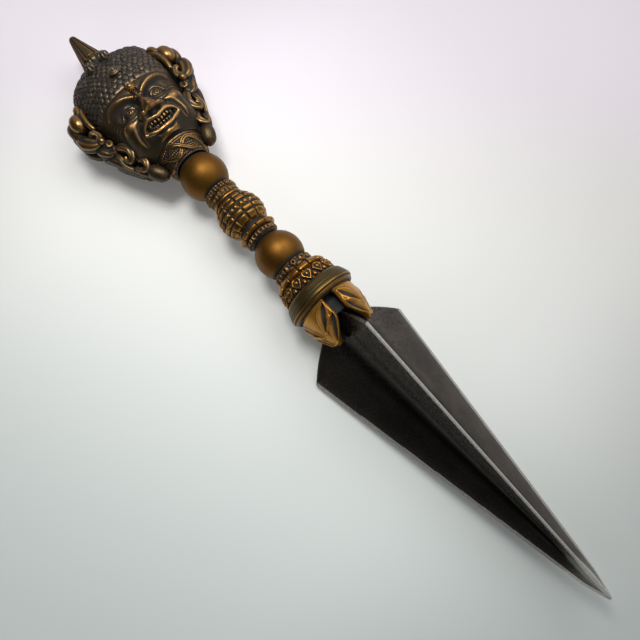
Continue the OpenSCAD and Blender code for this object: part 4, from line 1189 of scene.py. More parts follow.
def button(centre, axis, radius, relief, reach=110, rows=60, columns=96):
    """A cap of a ball round an axis, raised by relief(distance from the axis, degrees round it)."""
    axis = Vector(axis).normalized()
    side = axis.orthogonal().normalized()
    across = axis.cross(side)
    swing = np.radians(np.linspace(0, reach, rows))[1:, None]
    phi = np.linspace(0, 2 * math.pi, columns, endpoint=False)[None, :]
    r = radius + relief(radius * swing, np.degrees(phi))
    points = (r * np.sin(swing) * np.cos(phi))[..., None] * np.array(side)
    points = points + (r * np.sin(swing) * np.sin(phi))[..., None] * np.array(across)
    points = points + (r * np.cos(swing) + 0 * phi)[..., None] * np.array(axis)
    top = (radius + np.mean(relief(np.array([[0.0]]), np.array([[0.0]])))) * np.array(axis)
    low = points[-1].mean(0)
    points = np.vstack([points.reshape(-1, 3), top, low]) + np.array(centre)
    return points, grid(rows - 1, columns), end_fans(rows - 1, columns)


def gather(parts):
    """Several (points, quads, fans) as one."""
    points, quads, fans, base = [], [], [], 0
    for part_points, part_quads, part_fans in parts:
        points.append(part_points)
        quads.append(part_quads + base)
        fans += [tuple(index + base for index in fan) for fan in part_fans]
        base += len(part_points)
    return np.vstack(points), np.vstack(quads), fans


print("tubes and buttons are ready")

# %% [markdown]
# ## Horn and boss
# The horn is a cone with eight ribs and dark grooves between them, notched across like bamboo so that
# light breaks up on it. It closes round the tang in a blind bore. The boss below it is turned, with a
# ring of small upright petals.

# %% Horn and boss
def horn():
    """A ribbed cone with a round tip, closed inside round a blind bore for the tang."""
    start, end, base = span("horn")
    tip = 2.4
    columns = 288
    turn = np.arange(columns)[None, :] * 360 / columns
    swing = np.linspace(0.06, math.pi / 2, 14)[:-1]
    x = np.concatenate([tip - tip * np.cos(swing), np.linspace(tip, end, 150)])[:, None]
    body = np.where(x < tip, np.sqrt(np.clip(tip**2 - (tip - x) ** 2, 0, None)),
                    tip + (base - tip) * (x - tip) / (end - tip))
    away = np.abs(cell(turn, 8, 22.5)) / 22.5
    depth = 0.10 + 0.5 * smooth((x - 1.5) / 3)
    groove = -1.15 * depth * (1 - smooth(away / 0.42)) * smooth(x / 5)
    ribs = 0.10 * np.cos(2 * math.pi * x / 1.35) * smooth((x - 3) / 3) * smooth((away - 0.4) / 0.3)
    radius = body + groove + ribs + uneven(x, turn, 0.1, 24) * smooth(x / 3)
    radius = np.minimum(radius, base)
    rows = [wrap(x[j, 0], radius[j], turn[0]) for j in range(len(x))]
    blind = end - 10
    rows += [wrap(end, radius[-1] * 0.9, turn[0]), wrap(end, np.full(columns, BORE), turn[0]),
             wrap(blind, np.full(columns, BORE), turn[0])]
    points = np.vstack(rows + [[[start, 0, 0], [blind, 0, 0]]])
    rub_and_shade = -0.22 - 0.4 * (1 - smooth((end - points[:, 0]) / 1.2))
    return new_piece("horn_cast", points, grid(len(rows), columns), BRONZE, "bronze", "horn",
                     fans=end_fans(len(rows), columns), rub_and_shade=rub_and_shade)


def boss_ring(s, turn):
    """Small upright petals round the foot of the horn."""
    _, _, outer = span("crown_boss")
    knots = [(0, outer - 0.8), (0.6, outer - 0.2), (2.6, outer - 0.3), (4.0, outer - 1.1)]
    across = arc(cell(turn, 14), outer)
    petal = pillow(across, s - 2.2, 1.35, 1.7, 1.1, 0.6, 0.45)
    return moulding(knots, s) - 0.4 + petal + uneven(s, turn, 0.08, 25)


horn()
chase("crown_boss", boss_ring, CAP_BRONZE, "dark_bronze", columns=336)

# %% [markdown]
# ## Head form
# Cap, face and hair are plates over one head form, a loft of rounded sections that are flatter at the
# back. A point on it has a share u of the head's length and an angle from straight up. The plates also
# need true distances on the form, so that scales keep their size where the head narrows: these are
# summed up along the rows and columns of each grid.

# %% Head form
HEAD_START, HEAD_END = span("crown_boss")[1], span("upper_knob")[0]
HEAD_LEN = HEAD_END - HEAD_START
HEAD_HALF_W = 25
JAW_HALF_W = 20.5
FACE_H = 20.5
BACK_H = AXIS_Z / MM
NECK_R = 12.7
CROWN_R = span("crown_boss")[2] - 0.9
SHELL = 2.5
CAP_U = (span("cap")[1] - HEAD_START) / HEAD_LEN
CHIN_U = 0.87
FACE_ANGLE = 75
LEAN = 0.06


def head_radius(u, angle):
    """Radius of the head at a share of its length and an angle from straight up."""
    u = np.clip(u, 0, 1)
    crown = HEAD_HALF_W * np.clip(1 - np.clip((0.18 - u) / 0.17, 0, 1) ** 2.3, 0, 1) ** (1 / 2.3)
    jaw = mix(mix(HEAD_HALF_W, JAW_HALF_W, smooth((u - 0.3) / 0.4)), NECK_R, smooth((u - 0.76) / 0.16))
    side = np.where(u < 0.18, np.maximum(CROWN_R, crown), jaw)
    rise = mix(CROWN_R, FACE_H, 1 - np.clip(1 - u / 0.42, 0, 1) ** 1.8)
    front = np.where(u < 0.42, rise, mix(FACE_H, NECK_R, smooth((u - 0.72) / 0.18)))
    swell = mix(CROWN_R, BACK_H, np.sqrt(np.clip(1 - np.clip(1 - u / 0.25, 0, 1) ** 2, 0, 1)))
    back = np.where(u < 0.25, swell, mix(BACK_H, NECK_R, smooth((u - 0.55) / 0.35)))
    sine, cosine = np.sin(np.radians(angle)), np.cos(np.radians(angle))
    full = np.where(cosine > 0, mix(2.15, 2.4, smooth((u - 0.2) / 0.25)), 2.8)
    power = mix(full, 2, smooth((u - 0.6) / 0.3))
    height = np.where(cosine > 0, front, back)
    return ((np.abs(sine) / side) ** power + (np.abs(cosine) / height) ** power) ** (-1 / power)


def on_head(u, angle, radius):
    """The point at a radius of the head form, which leans a little to one side."""
    sine, cosine = np.sin(np.radians(angle)), np.cos(np.radians(angle))
    lean = LEAN * smooth(u / 0.12) * np.maximum(0, 1 - u)
    return np.stack((HEAD_START + HEAD_LEN * u - lean * radius * sine, radius * sine, radius * cosine), -1)


def resting(points):
    """Points of the head whose relief is worn flat where it lies on the floor."""
    return np.concatenate([points[..., :2], -eased(-points[..., 2:], BACK_H, 0.4)], -1)


def distances(points, axis):
    """Running length over a grid of points along its rows (0) or its columns (1)."""
    steps = np.linalg.norm(np.diff(points, axis=axis), axis=-1)
    start = np.zeros_like(steps.take([0], axis=axis))
    return np.cumsum(np.concatenate([start, steps], axis=axis), axis=axis)


def head_normals(points):
    """Outward unit normals over a grid of points on the head."""
    normal = np.cross(np.gradient(points, axis=0), np.gradient(points, axis=1))
    outward = points - points * (1, 0, 0)
    sign = np.sign((normal * outward).sum(-1, keepdims=True))
    return normal * sign / np.maximum(np.linalg.norm(normal, axis=-1, keepdims=True), 1e-9)


print("head from", round(HEAD_START, 1), "to", round(HEAD_END, 1), "mm")

# %% [markdown]
# ## Cap of scales
# The cap is covered with round scales, each about three millimetres across, laid in staggered rows from
# the brow to the crown. Each row holds as many as its own length allows. A scale is a low disc with a
# rounded edge and a faint ring inside, and the gaps between scales stay deep and dark.

# %% Cap
SCALE_PITCH = 2.9
SCALE_R = 1.68


def scale_heights(points):
    """Height of the scales over a closed grid of points on the cap, whose first row is the crown."""
    down = distances(points, 0)
    up = down[-1:] - down
    closed = np.concatenate([points, points[:, :1]], 1)
    round_ = distances(closed, 1)
    length = round_[:, -1:]
    share = round_[:, :-1] / length
    height = np.zeros(share.shape)
    draw = np.random.default_rng(41)
    row = 0
    while (row + 0.5) * SCALE_PITCH < up.max() - 1:
        middle = (row + 0.5) * SCALE_PITCH
        ring = int(np.abs(up.mean(1) - middle).argmin())
        count = max(6, round(float(length[ring, 0]) / (2 * SCALE_R)))
        shift = 0.5 * (row % 2) + draw.uniform(-0.06, 0.06)
        place_in_row = share * count - shift
        index = np.round(place_in_row).astype(int) % count
        size = 1 + draw.uniform(-0.2, 0.12, count)[index]
        lift = draw.uniform(-0.16, 0.12, count)[index]
        slip = draw.uniform(-0.55, 0.55, count)[index]
        across = (place_in_row - np.round(place_in_row)) * length / count
        across = across + draw.uniform(-0.4, 0.4, count)[index]
        out = np.hypot(across, up - middle - slip) / (SCALE_R * size)
        disc = (0.58 + lift) * np.sqrt(np.clip(1 - out**4, 0, 1)) - ridge(out - 0.55, 0.14, 0.06)
        height = np.maximum(height, disc * (out < 1))
        row += 1
    return height, up


def cap():
    """The scaled cap with its plain lining and the hole in its crown for the nut."""
    rows, lining_rows, columns = 158, 14, 540
    t = np.linspace(0, 1, rows)[:, None]
    u = CAP_U * mix(t * t, t, 0.45)
    angle = np.arange(columns)[None, :] * 360 / columns + 0 * u
    form = on_head(u, angle, head_radius(u, angle))
    height, up = scale_heights(form)
    rim = smooth((up - 0.2) / 0.5)
    crown = smooth((u * HEAD_LEN - 0.5) / 1.2)
    skin = resting(form + head_normals(form) * ((height - 0.35) * rim * crown)[..., None])
    inner_t = np.linspace(1, 0, lining_rows)[:, None]
    inner_u = mix(SHELL / HEAD_LEN, CAP_U, mix(inner_t**2, inner_t, 0.45))
    inner_angle = angle[:1] + 0 * inner_u
    lining = on_head(inner_u, inner_angle, head_radius(inner_u, inner_angle) - SHELL + 0.12)
    nut_room = 5.2
    hole = [on_head(np.full((1, columns), share), angle[:1], np.full((1, columns), nut_room))
            for share in (SHELL / HEAD_LEN, 0.0)]
    points = np.concatenate([skin, lining] + hole).reshape(-1, 3)
    quads = grid(rows + lining_rows + 2, columns, close_rows=True)
    return new_piece("cap_scaled", points, quads, CAP_BRONZE, "dark_bronze", "cap")


cap()

# %% [markdown]
# ## Face
# The face is a traditional wrathful guardian's: flaring brows, round eyes under heavy lids, a broad nose
# and a mouth drawn back from its teeth. It is laid out on plain even proportions, the same on both sides,
# as a plan of strokes in millimetres: across from the middle line and down from the edge of the cap. Each
# stroke is a smooth curve that raises a ridge or cuts a groove, thick in the middle and thin at its ends.

# %% Strokes
def stroke(across, down, knots, width, height, taper=0.6, crisp=2.0):
    """Height of a ridge along a curve, or of a groove if height is below zero."""
    path = smooth_path(knots, 14 * len(knots))
    away = np.full(across.shape, 1e9)
    share = np.zeros(across.shape)
    for i, (x, y) in enumerate(path):
        distance = (across - x) ** 2 + (down - y) ** 2
        nearer = distance < away
        away[nearer] = distance[nearer]
        share[nearer] = i / (len(path) - 1)
    swell = (1 - taper) + taper * np.sin(math.pi * share) ** 0.7
    t = np.sqrt(away) / (width * swell)
    return height * swell * np.exp(-(t**crisp))


def mound(across, down, x, y, wide, long_, height):
    """A soft bulge, or a hollow if height is below zero."""
    return height * np.exp(-(((across - x) / wide) ** 2) - ((down - y) / long_) ** 2)


def ball(across, down, x, y, wide, long_, height):
    """A round bulge with a clear edge."""
    return dome(np.hypot((across - x) / wide, (down - y) / long_), 1, height)


print("strokes are ready")


# %% [markdown]
# ## Plan of the face
# Brow and eye, nose and cheek, and mouth and chin each have a function that adds up its strokes and mounds
# on the flat plan. A face could be sculpted with brushes instead. The strokes are used because both sides
# come out even, and because one number moves or deepens a fold without harm to the rest.

# %% Plan of the face
EYE = (9.2, 11.2)
CORNER = 9.2


def upper_lip(a):
    """How far down the edge of the upper lip lies, at a distance from the middle line."""
    bow = 23.7 + 0.4 * np.exp(-((a / 1.4) ** 2)) - 0.5 * np.exp(-(((a - 5) / 2.5) ** 2))
    return bow + smooth((a - 6) / 4)


def lower_lip(a):
    """How far down the edge of the lower lip lies."""
    return 27.9 - 1.9 * smooth((a - 3.5) / 6)


def brow_and_eye(a, d):
    """Heavy brows over deep sockets, with lids, eyeballs and pupils."""
    h = mound(a, d, 0, 2, 9, 4, 0.6) + mound(a, d, 12, 3.2, 9, 2.6, 0.9)
    h += stroke(a, d, [(1.5, 9.2), (4.0, 6.9), (8.8, 5.0), (14.5, 4.2), (19.5, 5.4)], 1.5, 1.9, 0.55)
    h += stroke(a, d, [(1.0, 2.8), (1.5, 5.0), (1.1, 7.6)], 0.5, -0.9)
    h += stroke(a, d, [(4, 2.2), (9, 1.2), (15, 1.1)], 0.45, -0.4)
    h += mound(a, d, 9.2, 10.9, 6.6, 3.2, -3.3) + mound(a, d, 3.6, 10.4, 1.7, 2.6, -1.7)
    away = np.hypot((a - EYE[0]) / 4.3, (d - EYE[1]) / 2.8)
    h = np.where(away < 1, np.maximum(h, -3.5 + dome(away, 1, 2.8)), h)
    h += stroke(a, d, [(4.2, 12.4), (6.2, 9.6), (9.2, 8.4), (12.4, 9.4), (14.8, 12.0)], 0.95, 1.1, 0.4)
    h += stroke(a, d, [(4.6, 12.6), (6.8, 14.0), (9.6, 14.5), (12.4, 13.6), (14.4, 12.3)], 0.85, 0.7, 0.4)
    h += stroke(a, d, [(5, 16.2), (9, 17.2), (13.5, 16.0)], 0.6, -0.4)
    for reach in (0, 1, 2):
        crease = [(16.8, 10.4 + 1.5 * reach), (20, 9.4 + 2.0 * reach), (23, 9.2 + 2.5 * reach)]
        h += stroke(a, d, crease, 0.45, -0.4)
    out = np.hypot(a - EYE[0], d - EYE[1])
    return h - ridge(out - 1.5, 0.35, 0.2) - ridge(out, 0.55, 0.55)


def nose_and_cheek(a, d):
    """A broad nose with a wrinkled bridge and flared nostrils, full cheeks and the mouth's folds."""
    grow = smooth((d - 5) / 12)
    bridge = (0.8 + 3.9 * grow) * np.exp(-((a / mix(2.1, 3.6, grow)) ** 2))
    h = bridge * smooth((d - 3.5) / 4) * (1 - smooth((d - 19.6) / 1.9))
    h += ball(a, d, 0, 17.8, 3.6, 3.3, 1.5) + mound(a, d, 5.0, 19.2, 2.0, 1.9, 2.3)
    nostril = stroke(a, d, [(7.2, 16.6), (8.0, 19.2), (7.0, 21.8)], 0.6, -0.8)
    h += nostril - mound(a, d, 2.5, 21.2, 1.2, 0.8, 1.8)
    for rise in (7.6, 9.4, 11.2):
        h += stroke(a, d, [(0, rise + 0.5), (1.5, rise), (3.0, rise + 0.9)], 0.4, -0.45)
    h += mound(a, d, 14.5, 17.6, 5.0, 3.8, 3.0) + mound(a, d, 16.5, 26, 5, 5, 1.0)
    fold = [(7.8, 18.8), (10.8, 21.2), (12.9, 24.6), (13.0, 28.6)]
    return h + stroke(a, d, fold, 0.9, -1.3, 0.5)


def mouth_and_chin(a, d):
    """A mouth drawn back from its teeth, with four fangs, and a round chin."""
    upper, lower = upper_lip(a), lower_lip(a)
    open_ = smooth((d - upper) / 0.5) * smooth((lower - d) / 0.5) * smooth((CORNER - a) / 1.2)
    pitch = 1.9
    tooth = a % pitch - pitch / 2
    teeth_up = pillow(tooth, d - upper - 1.0, 0.88, 1.2, 0.6, 0.6, 2.1)
    teeth_down = pillow(tooth, d - lower + 0.9, 0.88, 0.9, 0.5, 0.6, 1.8)
    upper_fang = stroke(a, d, [(5.7, 23.4), (6.0, 25.2), (5.7, 27.2)], 0.95, 3.1, 0.7)
    lower_fang = stroke(a, d, [(3.9, 28.4), (3.8, 27.0), (4.1, 25.4)], 0.8, 3.1, 0.7)
    biting = np.maximum(np.maximum(teeth_up, teeth_down), np.maximum(upper_fang, lower_fang))
    h = mound(a, d, 0, 25.4, 10.5, 5.0, 2.6) + (biting - 2.9) * open_
    stations = (0, 2.2, 4.4, 6.6, 8.4)
    top = [(x, float(upper_lip(np.array(x))) - 0.8) for x in stations]
    low = [(x, float(lower_lip(np.array(x))) + 0.9) for x in stations]
    h += stroke(a, d, top + [(10.0, 25.4), (9.8, 26.6)], 0.95, 0.75, 0.4)
    h += stroke(a, d, low + [(9.9, 26.2)], 1.05, 0.9, 0.4)
    crease = stroke(a, d, [(0, 30.2), (3.4, 30.1), (6.2, 29.0)], 0.6, -0.9)
    return h + (mound(a, d, 0, 32.0, 5.6, 2.6, 2.8) + crease)


print("mouth", 2 * CORNER, "mm wide, eyes", 2 * EYE[0], "mm apart")

# %% [markdown]
# ## Plates of the head
# The flat plan is laid on the head form, so that its heights stand off the form, and a plain lining behind
# closes it into a plate. A displace modifier could lift a fine mesh in the same way, but it gives no
# thickness. The combed hair at the back of the head is a second plate from the same helper.

# %% Head plates
LINING_STEP = 8


def head_plate(name, low, high, rows, columns, height, finish, slot):
    """A closed plate of the head between two angles, raised by height(across, down), plainly lined."""
    u = np.linspace(CAP_U, CHIN_U, rows)[:, None] + 0 * np.arange(columns)
    angle = np.linspace(low, high, columns)[None, :] + 0 * u
    form = on_head(u, angle, head_radius(u, angle))
    across = distances(form, 1)
    across = across - across[:, columns // 2: columns // 2 + 1]
    down = distances(form, 0)
    edge = np.minimum.reduce([down, down[-1:] - down, across - across[:, :1], across[:, -1:] - across])
    raised = height(across, down) * smooth(edge / 2.2) - 0.45 * (1 - np.sqrt(np.clip(edge / 0.45, 0, 1)))
    skin = resting(form + head_normals(form) * raised[..., None])
    lining = on_head(u, angle, head_radius(u, angle) - SHELL + 0.12)[:, ::LINING_STEP]
    rings = np.concatenate([skin, lining[:, ::-1]], 1)
    ring_size = rings.shape[1]
    ends = []
    for row in (0, rows - 1):
        base = row * ring_size
        for i in range(0, columns - 1, LINING_STEP):
            far = ring_size - 1 - i // LINING_STEP
            end = [base + i + k for k in range(LINING_STEP + 1)] + [base + far - 1, base + far]
            ends.append(end if row == 0 else end[::-1])
    rub_and_shade = 0.3 * smooth((raised - 0.8) / 3) - 0.3 * smooth((-raised - 0.6) / 1.5) - 0.08
    rub_and_shade = rub_and_shade - 0.4 * (1 - smooth(edge / 1.4))
    rub_and_shade = np.concatenate([rub_and_shade, 0 * lining[..., 0]], 1).ravel()
    return new_piece(name + "_cast", rings.reshape(-1, 3), grid(rows, ring_size), finish, slot, name,
                     fans=ends, rub_and_shade=rub_and_shade)


def face_height(across, down):
    """The face, the same on both sides but for the waver of the hand."""
    a = np.abs(across)
    h = brow_and_eye(a, down) + nose_and_cheek(a, down) + mouth_and_chin(a, down)
    return h + uneven(down * 0.8, across * 8, 0.12, 51)


def combed(across, down):
    """Locks of hair combed from the cap to the neck, each with finer strands in it."""
    wave = across + 1.2 * np.sin(down / 4.5) + 0.6 * np.sin(down / 2.1 + across / 7)
    lock = np.abs((wave / 4.4) % 1 - 0.5)
    strand = np.cos(2 * math.pi * wave / 1.1)
    return 0.85 * np.sqrt(np.clip(1 - (2 * lock) ** 2, 0, 1)) - 0.55 + 0.09 * strand


head_plate("face", -FACE_ANGLE, FACE_ANGLE, 225, 377, face_height, HEAD_BRONZE, "bronze")
head_plate("back_hair", FACE_ANGLE + 0.5, 359.5 - FACE_ANGLE, 160, 417, combed, DARK_BRONZE, "dark_bronze")

# %% [markdown]
# ## Knot collar
# A band of two strands passes over and under itself round the neck, eight crossings in all, with an open
# eye between each two. Rows of tiny beads fill the neck beside it. The strands are waves round the
# collar, half a turn apart, and the one that is on top at a crossing is the higher of the two.

# %% Knot collar
CROSSINGS = 8
NECK_SLOPE = 0.32
STRAND_HALF_W = 1.15


def knotted(s, turn):
    """Two strands that pass over and under each other, on rows of tiny beads."""
    start, end, outer = span("knot_collar")
    length = end - start
    base = outer - 1.05 - NECK_SLOPE * s - 1.1 * np.clip((s - length + 1.6) / 1.6, 0, 1) ** 2
    radius = base + 0 * turn
    wave = CROSSINGS / 2 * np.radians(turn)
    swing = length / 2 - 1.5
    for side in (-1, 1):
        middle = length / 2 - 0.2 + side * swing * np.sin(wave)
        lie = CROSSINGS / 2 * swing * np.cos(wave) / outer
        away = (s - middle) / np.sqrt(1 + lie**2)
        top = base + 1.0 + side * 0.35 * np.cos(wave)
        rounded = np.sqrt(np.clip(1 - (away / STRAND_HALF_W) ** 4, 0, 1))
        strand = base + (top - base) * rounded - ridge(away, 0.3, 0.15)
        radius = np.where(np.abs(away) < STRAND_HALF_W, np.maximum(radius, strand), radius)
    out = np.hypot(arc(cell(turn, 60), base), (s + 0.1) % 1.2 - 0.6)
    beads = base - 0.1 + dome(out, 0.55, 0.5)
    return np.maximum(radius, beads) + uneven(s, turn, 0.08, 52)


chase("knot_collar", knotted, DARK_BRONZE, "dark_bronze", columns=560, step=0.14)

# %% [markdown]
# ## Buttons on the cap
# Two round lobes stand beside the horn, each a small flower with drilled dots. A coil of two turns with a
# bead in it sits on the front of the cap, and a jewel in a beaded setting marks the brow.

# %% Lobes, coil and jewel
def axis_at(u, angle):
    """The outward direction of the head form at a place on it."""
    steps = [on_head(np.array(u + du), np.array(angle + da), head_radius(u + du, angle + da))
             for du, da in ((0, 0), (0.004, 0), (0, 0.5))]
    normal = np.cross(steps[1] - steps[0], steps[2] - steps[0])
    return normal if normal[2] > 0 else -normal


def no_relief(out, degrees):
    """The relief of a plain bead."""
    return 0 * out * degrees


def flower(out, degrees):
    """Seven petals with a drilled dot on each, round a drilled middle."""
    petals = 0.28 * np.cos(np.radians(7 * degrees)) * smooth((out - 1.2) / 0.8)
    petals = petals * (1 - smooth((out - 4.6) / 0.8))
    dots = np.hypot(out - 2.1, np.radians((degrees + 360 / 14) % (360 / 7) - 360 / 14) * out)
    return petals - 0.5 * np.exp(-((dots / 0.38) ** 2)) - 0.6 * np.exp(-((out / 0.55) ** 2))


def lobes():
    """The two round lobes beside the horn."""
    radius = 3.2
    parts = []
    for u, angle in ((0.09, 14), (0.12, -26)):
        centre = on_head(np.array(u), np.array(angle), head_radius(u, angle) + 0.3 * radius)
        parts.append(button(centre, axis_at(u, angle), radius, flower, reach=115, rows=70, columns=140))
    points, quads, fans = gather(parts)
    return new_piece("crown_flowers", points, quads, CAP_BRONZE, "dark_bronze", "crown_lobes",
                     fans=fans, rub_and_shade=-0.1)


def bead_on(node, lift):
    """Centre and axis for a button that sits where a node is, lifted off the form of the head."""
    low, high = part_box(node)
    middle = (low + high) / 2
    x, y = (middle.x - HORN_TIP) / MM, middle.y / MM
    u = (x - HEAD_START) / HEAD_LEN
    angle = math.degrees(math.atan2(y, (middle.z - AXIS_Z) / MM))
    axis = np.array(Vector(axis_at(u, angle)).normalized())
    seat = on_head(np.array(u), np.array(angle), head_radius(u, angle))
    return seat + axis * lift, axis


def beaded_dish(out, degrees):
    """A dish for the stone with fourteen beads round it."""
    beads = 0.3 * np.cos(np.radians(14 * degrees)) * np.exp(-((out - 3.3) ** 2) / 0.3)
    return -1.3 * smooth((1.9 - out) / 0.6) + beads


def jewel():
    """A round stone in its setting on the brow."""
    centre, axis = bead_on("forehead_bead", 0.0)
    setting = button(centre - axis * 0.3, axis, 2.9, beaded_dish, reach=95, columns=140)
    stone = button(centre + axis * 0.9, axis, 1.85, no_relief, reach=120)
    points, quads, fans = gather([setting, stone])
    return new_piece("brow_jewel", points, quads, HEAD_BRONZE, "bronze", "forehead_bead", fans=fans)


def coil():
    """A wire wound in twice round a bead, on a low pad."""
    centre, axis = bead_on("cap_coil", 0.75)
    side = np.array(Vector(axis).orthogonal().normalized())
    other = np.cross(axis, side)
    count = 160
    turns = np.linspace(0, 2.2 * 2 * math.pi, count)
    reach = 3.0 - 1.9 * turns / turns[-1]
    path = centre + (reach * np.cos(turns))[:, None] * side + (reach * np.sin(turns))[:, None] * other
    path = path + (0.1 + 0.9 * turns / turns[-1])[:, None] * axis
    ring = tube(path, 0.78 * round_ends(count, 0.15), sides=20)
    bead = button(centre + axis * 1.1, axis, 1.0, no_relief, reach=170, rows=30, columns=40)
    pad = button(centre - axis * 3.2, axis, 3.6, no_relief, reach=60)
    points, quads, fans = gather([ring, bead, pad])
    return new_piece("cap_coil_wound", points, quads, CAP_BRONZE, "dark_bronze", "cap_coil",
                     fans=fans, rub_and_shade=-0.1)


lobes()
jewel()
coil()

# %% [markdown]
# ## Wings of curls
# Hair streams back from the cap in two wings of thick locks: smooth lobes at the top, a big scroll with a
# bead in its eye, crescents with combed strands between them, and a last round lobe beside the neck. Each
# lock is a tube that swells and closes, laid on a flat root. A voxel remesh melts them into one casting,
# as wax locks are melted together before the mould is made, and a little smoothing takes off the marks of
# the voxels. Whatever would lie inside the head is pushed out to its surface, so that the wing is seated.

# %% Locks
def lock(knots, flute=0.0, flutes=4, sides=30):
    """A lock of hair along (x, left, up, radius) knots, with round ends."""
    line = smooth_path(knots, 18 * len(knots))
    path, radii = line[:, :3], line[:, 3]
    steps = np.linalg.norm(np.diff(path, axis=0), axis=1)
    run = np.concatenate([[0], np.cumsum(steps)])
    inward = np.clip(1 - np.minimum(run, run[-1] - run) / radii, 0, 1)
    return tube(path, radii * np.sqrt(np.clip(1 - inward**2, 0.0004, 1)), sides, flute, flutes)


def volute(x, y, z, size, thick, turns=1.3, start=180):
    """Knots of a lock that winds in on itself and rises to its middle."""
    t = np.linspace(0, 1, 9)
    swing = np.radians(start) + turns * 2 * math.pi * t
    reach = size * (1 - 0.85 * t)
    x, y = x + reach * np.cos(swing), y + reach * np.sin(swing)
    return np.stack((x, y, z + 1.5 * t, thick * (1 - 0.4 * t)), 1)


def largest_island(count, a, b):
    """Marks the points that hang together with most of the others."""
    label = np.arange(count)
    while True:
        low = np.minimum(label[a], label[b])
        new = label.copy()
        np.minimum.at(new, a, low)
        np.minimum.at(new, b, low)
        new = new[new]
        if (new == label).all():
            return label == np.bincount(label).argmax()
        label = new


def melt(parts, voxel):
    """Melts closed shapes into one, and gives its points and quads in millimetres."""
    points, quads, fans = gather(parts)
    mesh = bpy.data.meshes.new("wax")
    mesh.from_pydata(points.tolist(), [], quads.tolist() + [list(map(int, fan)) for fan in fans])
    wax = bpy.data.objects.new("wax", mesh)
    bpy.context.scene.collection.objects.link(wax)
    voxels = wax.modifiers.new("voxels", "REMESH")
    voxels.mode = "VOXEL"
    voxels.voxel_size = voxel
    cast = wax.evaluated_get(bpy.context.evaluated_depsgraph_get()).to_mesh()
    points = np.empty(len(cast.vertices) * 3)
    cast.vertices.foreach_get("co", points)
    points = points.reshape(-1, 3)
    quads = np.empty(len(cast.loops), int)
    cast.loops.foreach_get("vertex_index", quads)
    quads = quads.reshape(-1, 4)
    bpy.data.objects.remove(wax)
    bpy.data.meshes.remove(mesh)
    a, b = np.concatenate([quads[:, [k, (k + 1) % 4]] for k in range(4)]).T
    kept = largest_island(len(points), a, b)
    quads = (np.cumsum(kept) - 1)[quads[kept[quads[:, 0]]]]
    return relax(points[kept], quads, 3), quads


def relax(points, quads, rounds):
    """Moves each point part of the way to the middle of its neighbours, a few times."""
    a, b = np.concatenate([quads[:, [k, (k + 1) % 4]] for k in range(4)]).T
    degree = np.bincount(a, minlength=len(points))[:, None]
    for _ in range(rounds):
        near = np.stack([np.bincount(a, points[b, k], len(points)) for k in range(3)], 1) / degree
        points = 0.5 * points + 0.5 * near
    return points


print("locks can be wound and melted")

# %% [markdown]
# ## Setting out the wings
# The locks are lists of points with a thickness at each one: smooth lobes, combed crescents, a scroll and
# a root under them all. Curve objects with a bevel could draw them too, but the melting asks for meshes in
# any case. Both wings come from one list, mirrored for the other side and skewed as the head leans, since
# the two are meant as a pair.

# %% Wings
PLAIN_LOCKS = [
    [(39.5, 24.0, 3.0, 2.0), (41.5, 25.0, 6.0, 2.4), (45.0, 26.0, 7.0, 2.2), (48.0, 26.5, 5.5, 1.6)],
    [(43.5, 27.5, 2.5, 2.6), (46.5, 29.2, 5.2, 4.1), (50.2, 29.6, 5.6, 4.0), (53.6, 28.4, 4.5, 2.4)],
    [(42.5, 31.0, -1.0, 2.4), (45.5, 32.6, 1.0, 3.6), (50.0, 32.8, 2.0, 3.8), (54.2, 31.8, 2.0, 2.6)],
    [(46.0, 34.0, -3.0, 2.8), (51.0, 34.4, -3.0, 3.0), (57.0, 33.4, -3.0, 3.0)],
    [(92.5, 18.2, 1.0, 3.0), (97.0, 16.8, 2.6, 4.0), (101.0, 14.6, 1.8, 3.7), (103.0, 13.4, 0.5, 2.4)],
    [(42.0, 22.8, 6.0, 1.5), (48.0, 25.2, 8.2, 1.6), (54.0, 26.0, 8.4, 1.5), (59.0, 25.4, 8.0, 1.1)],
]
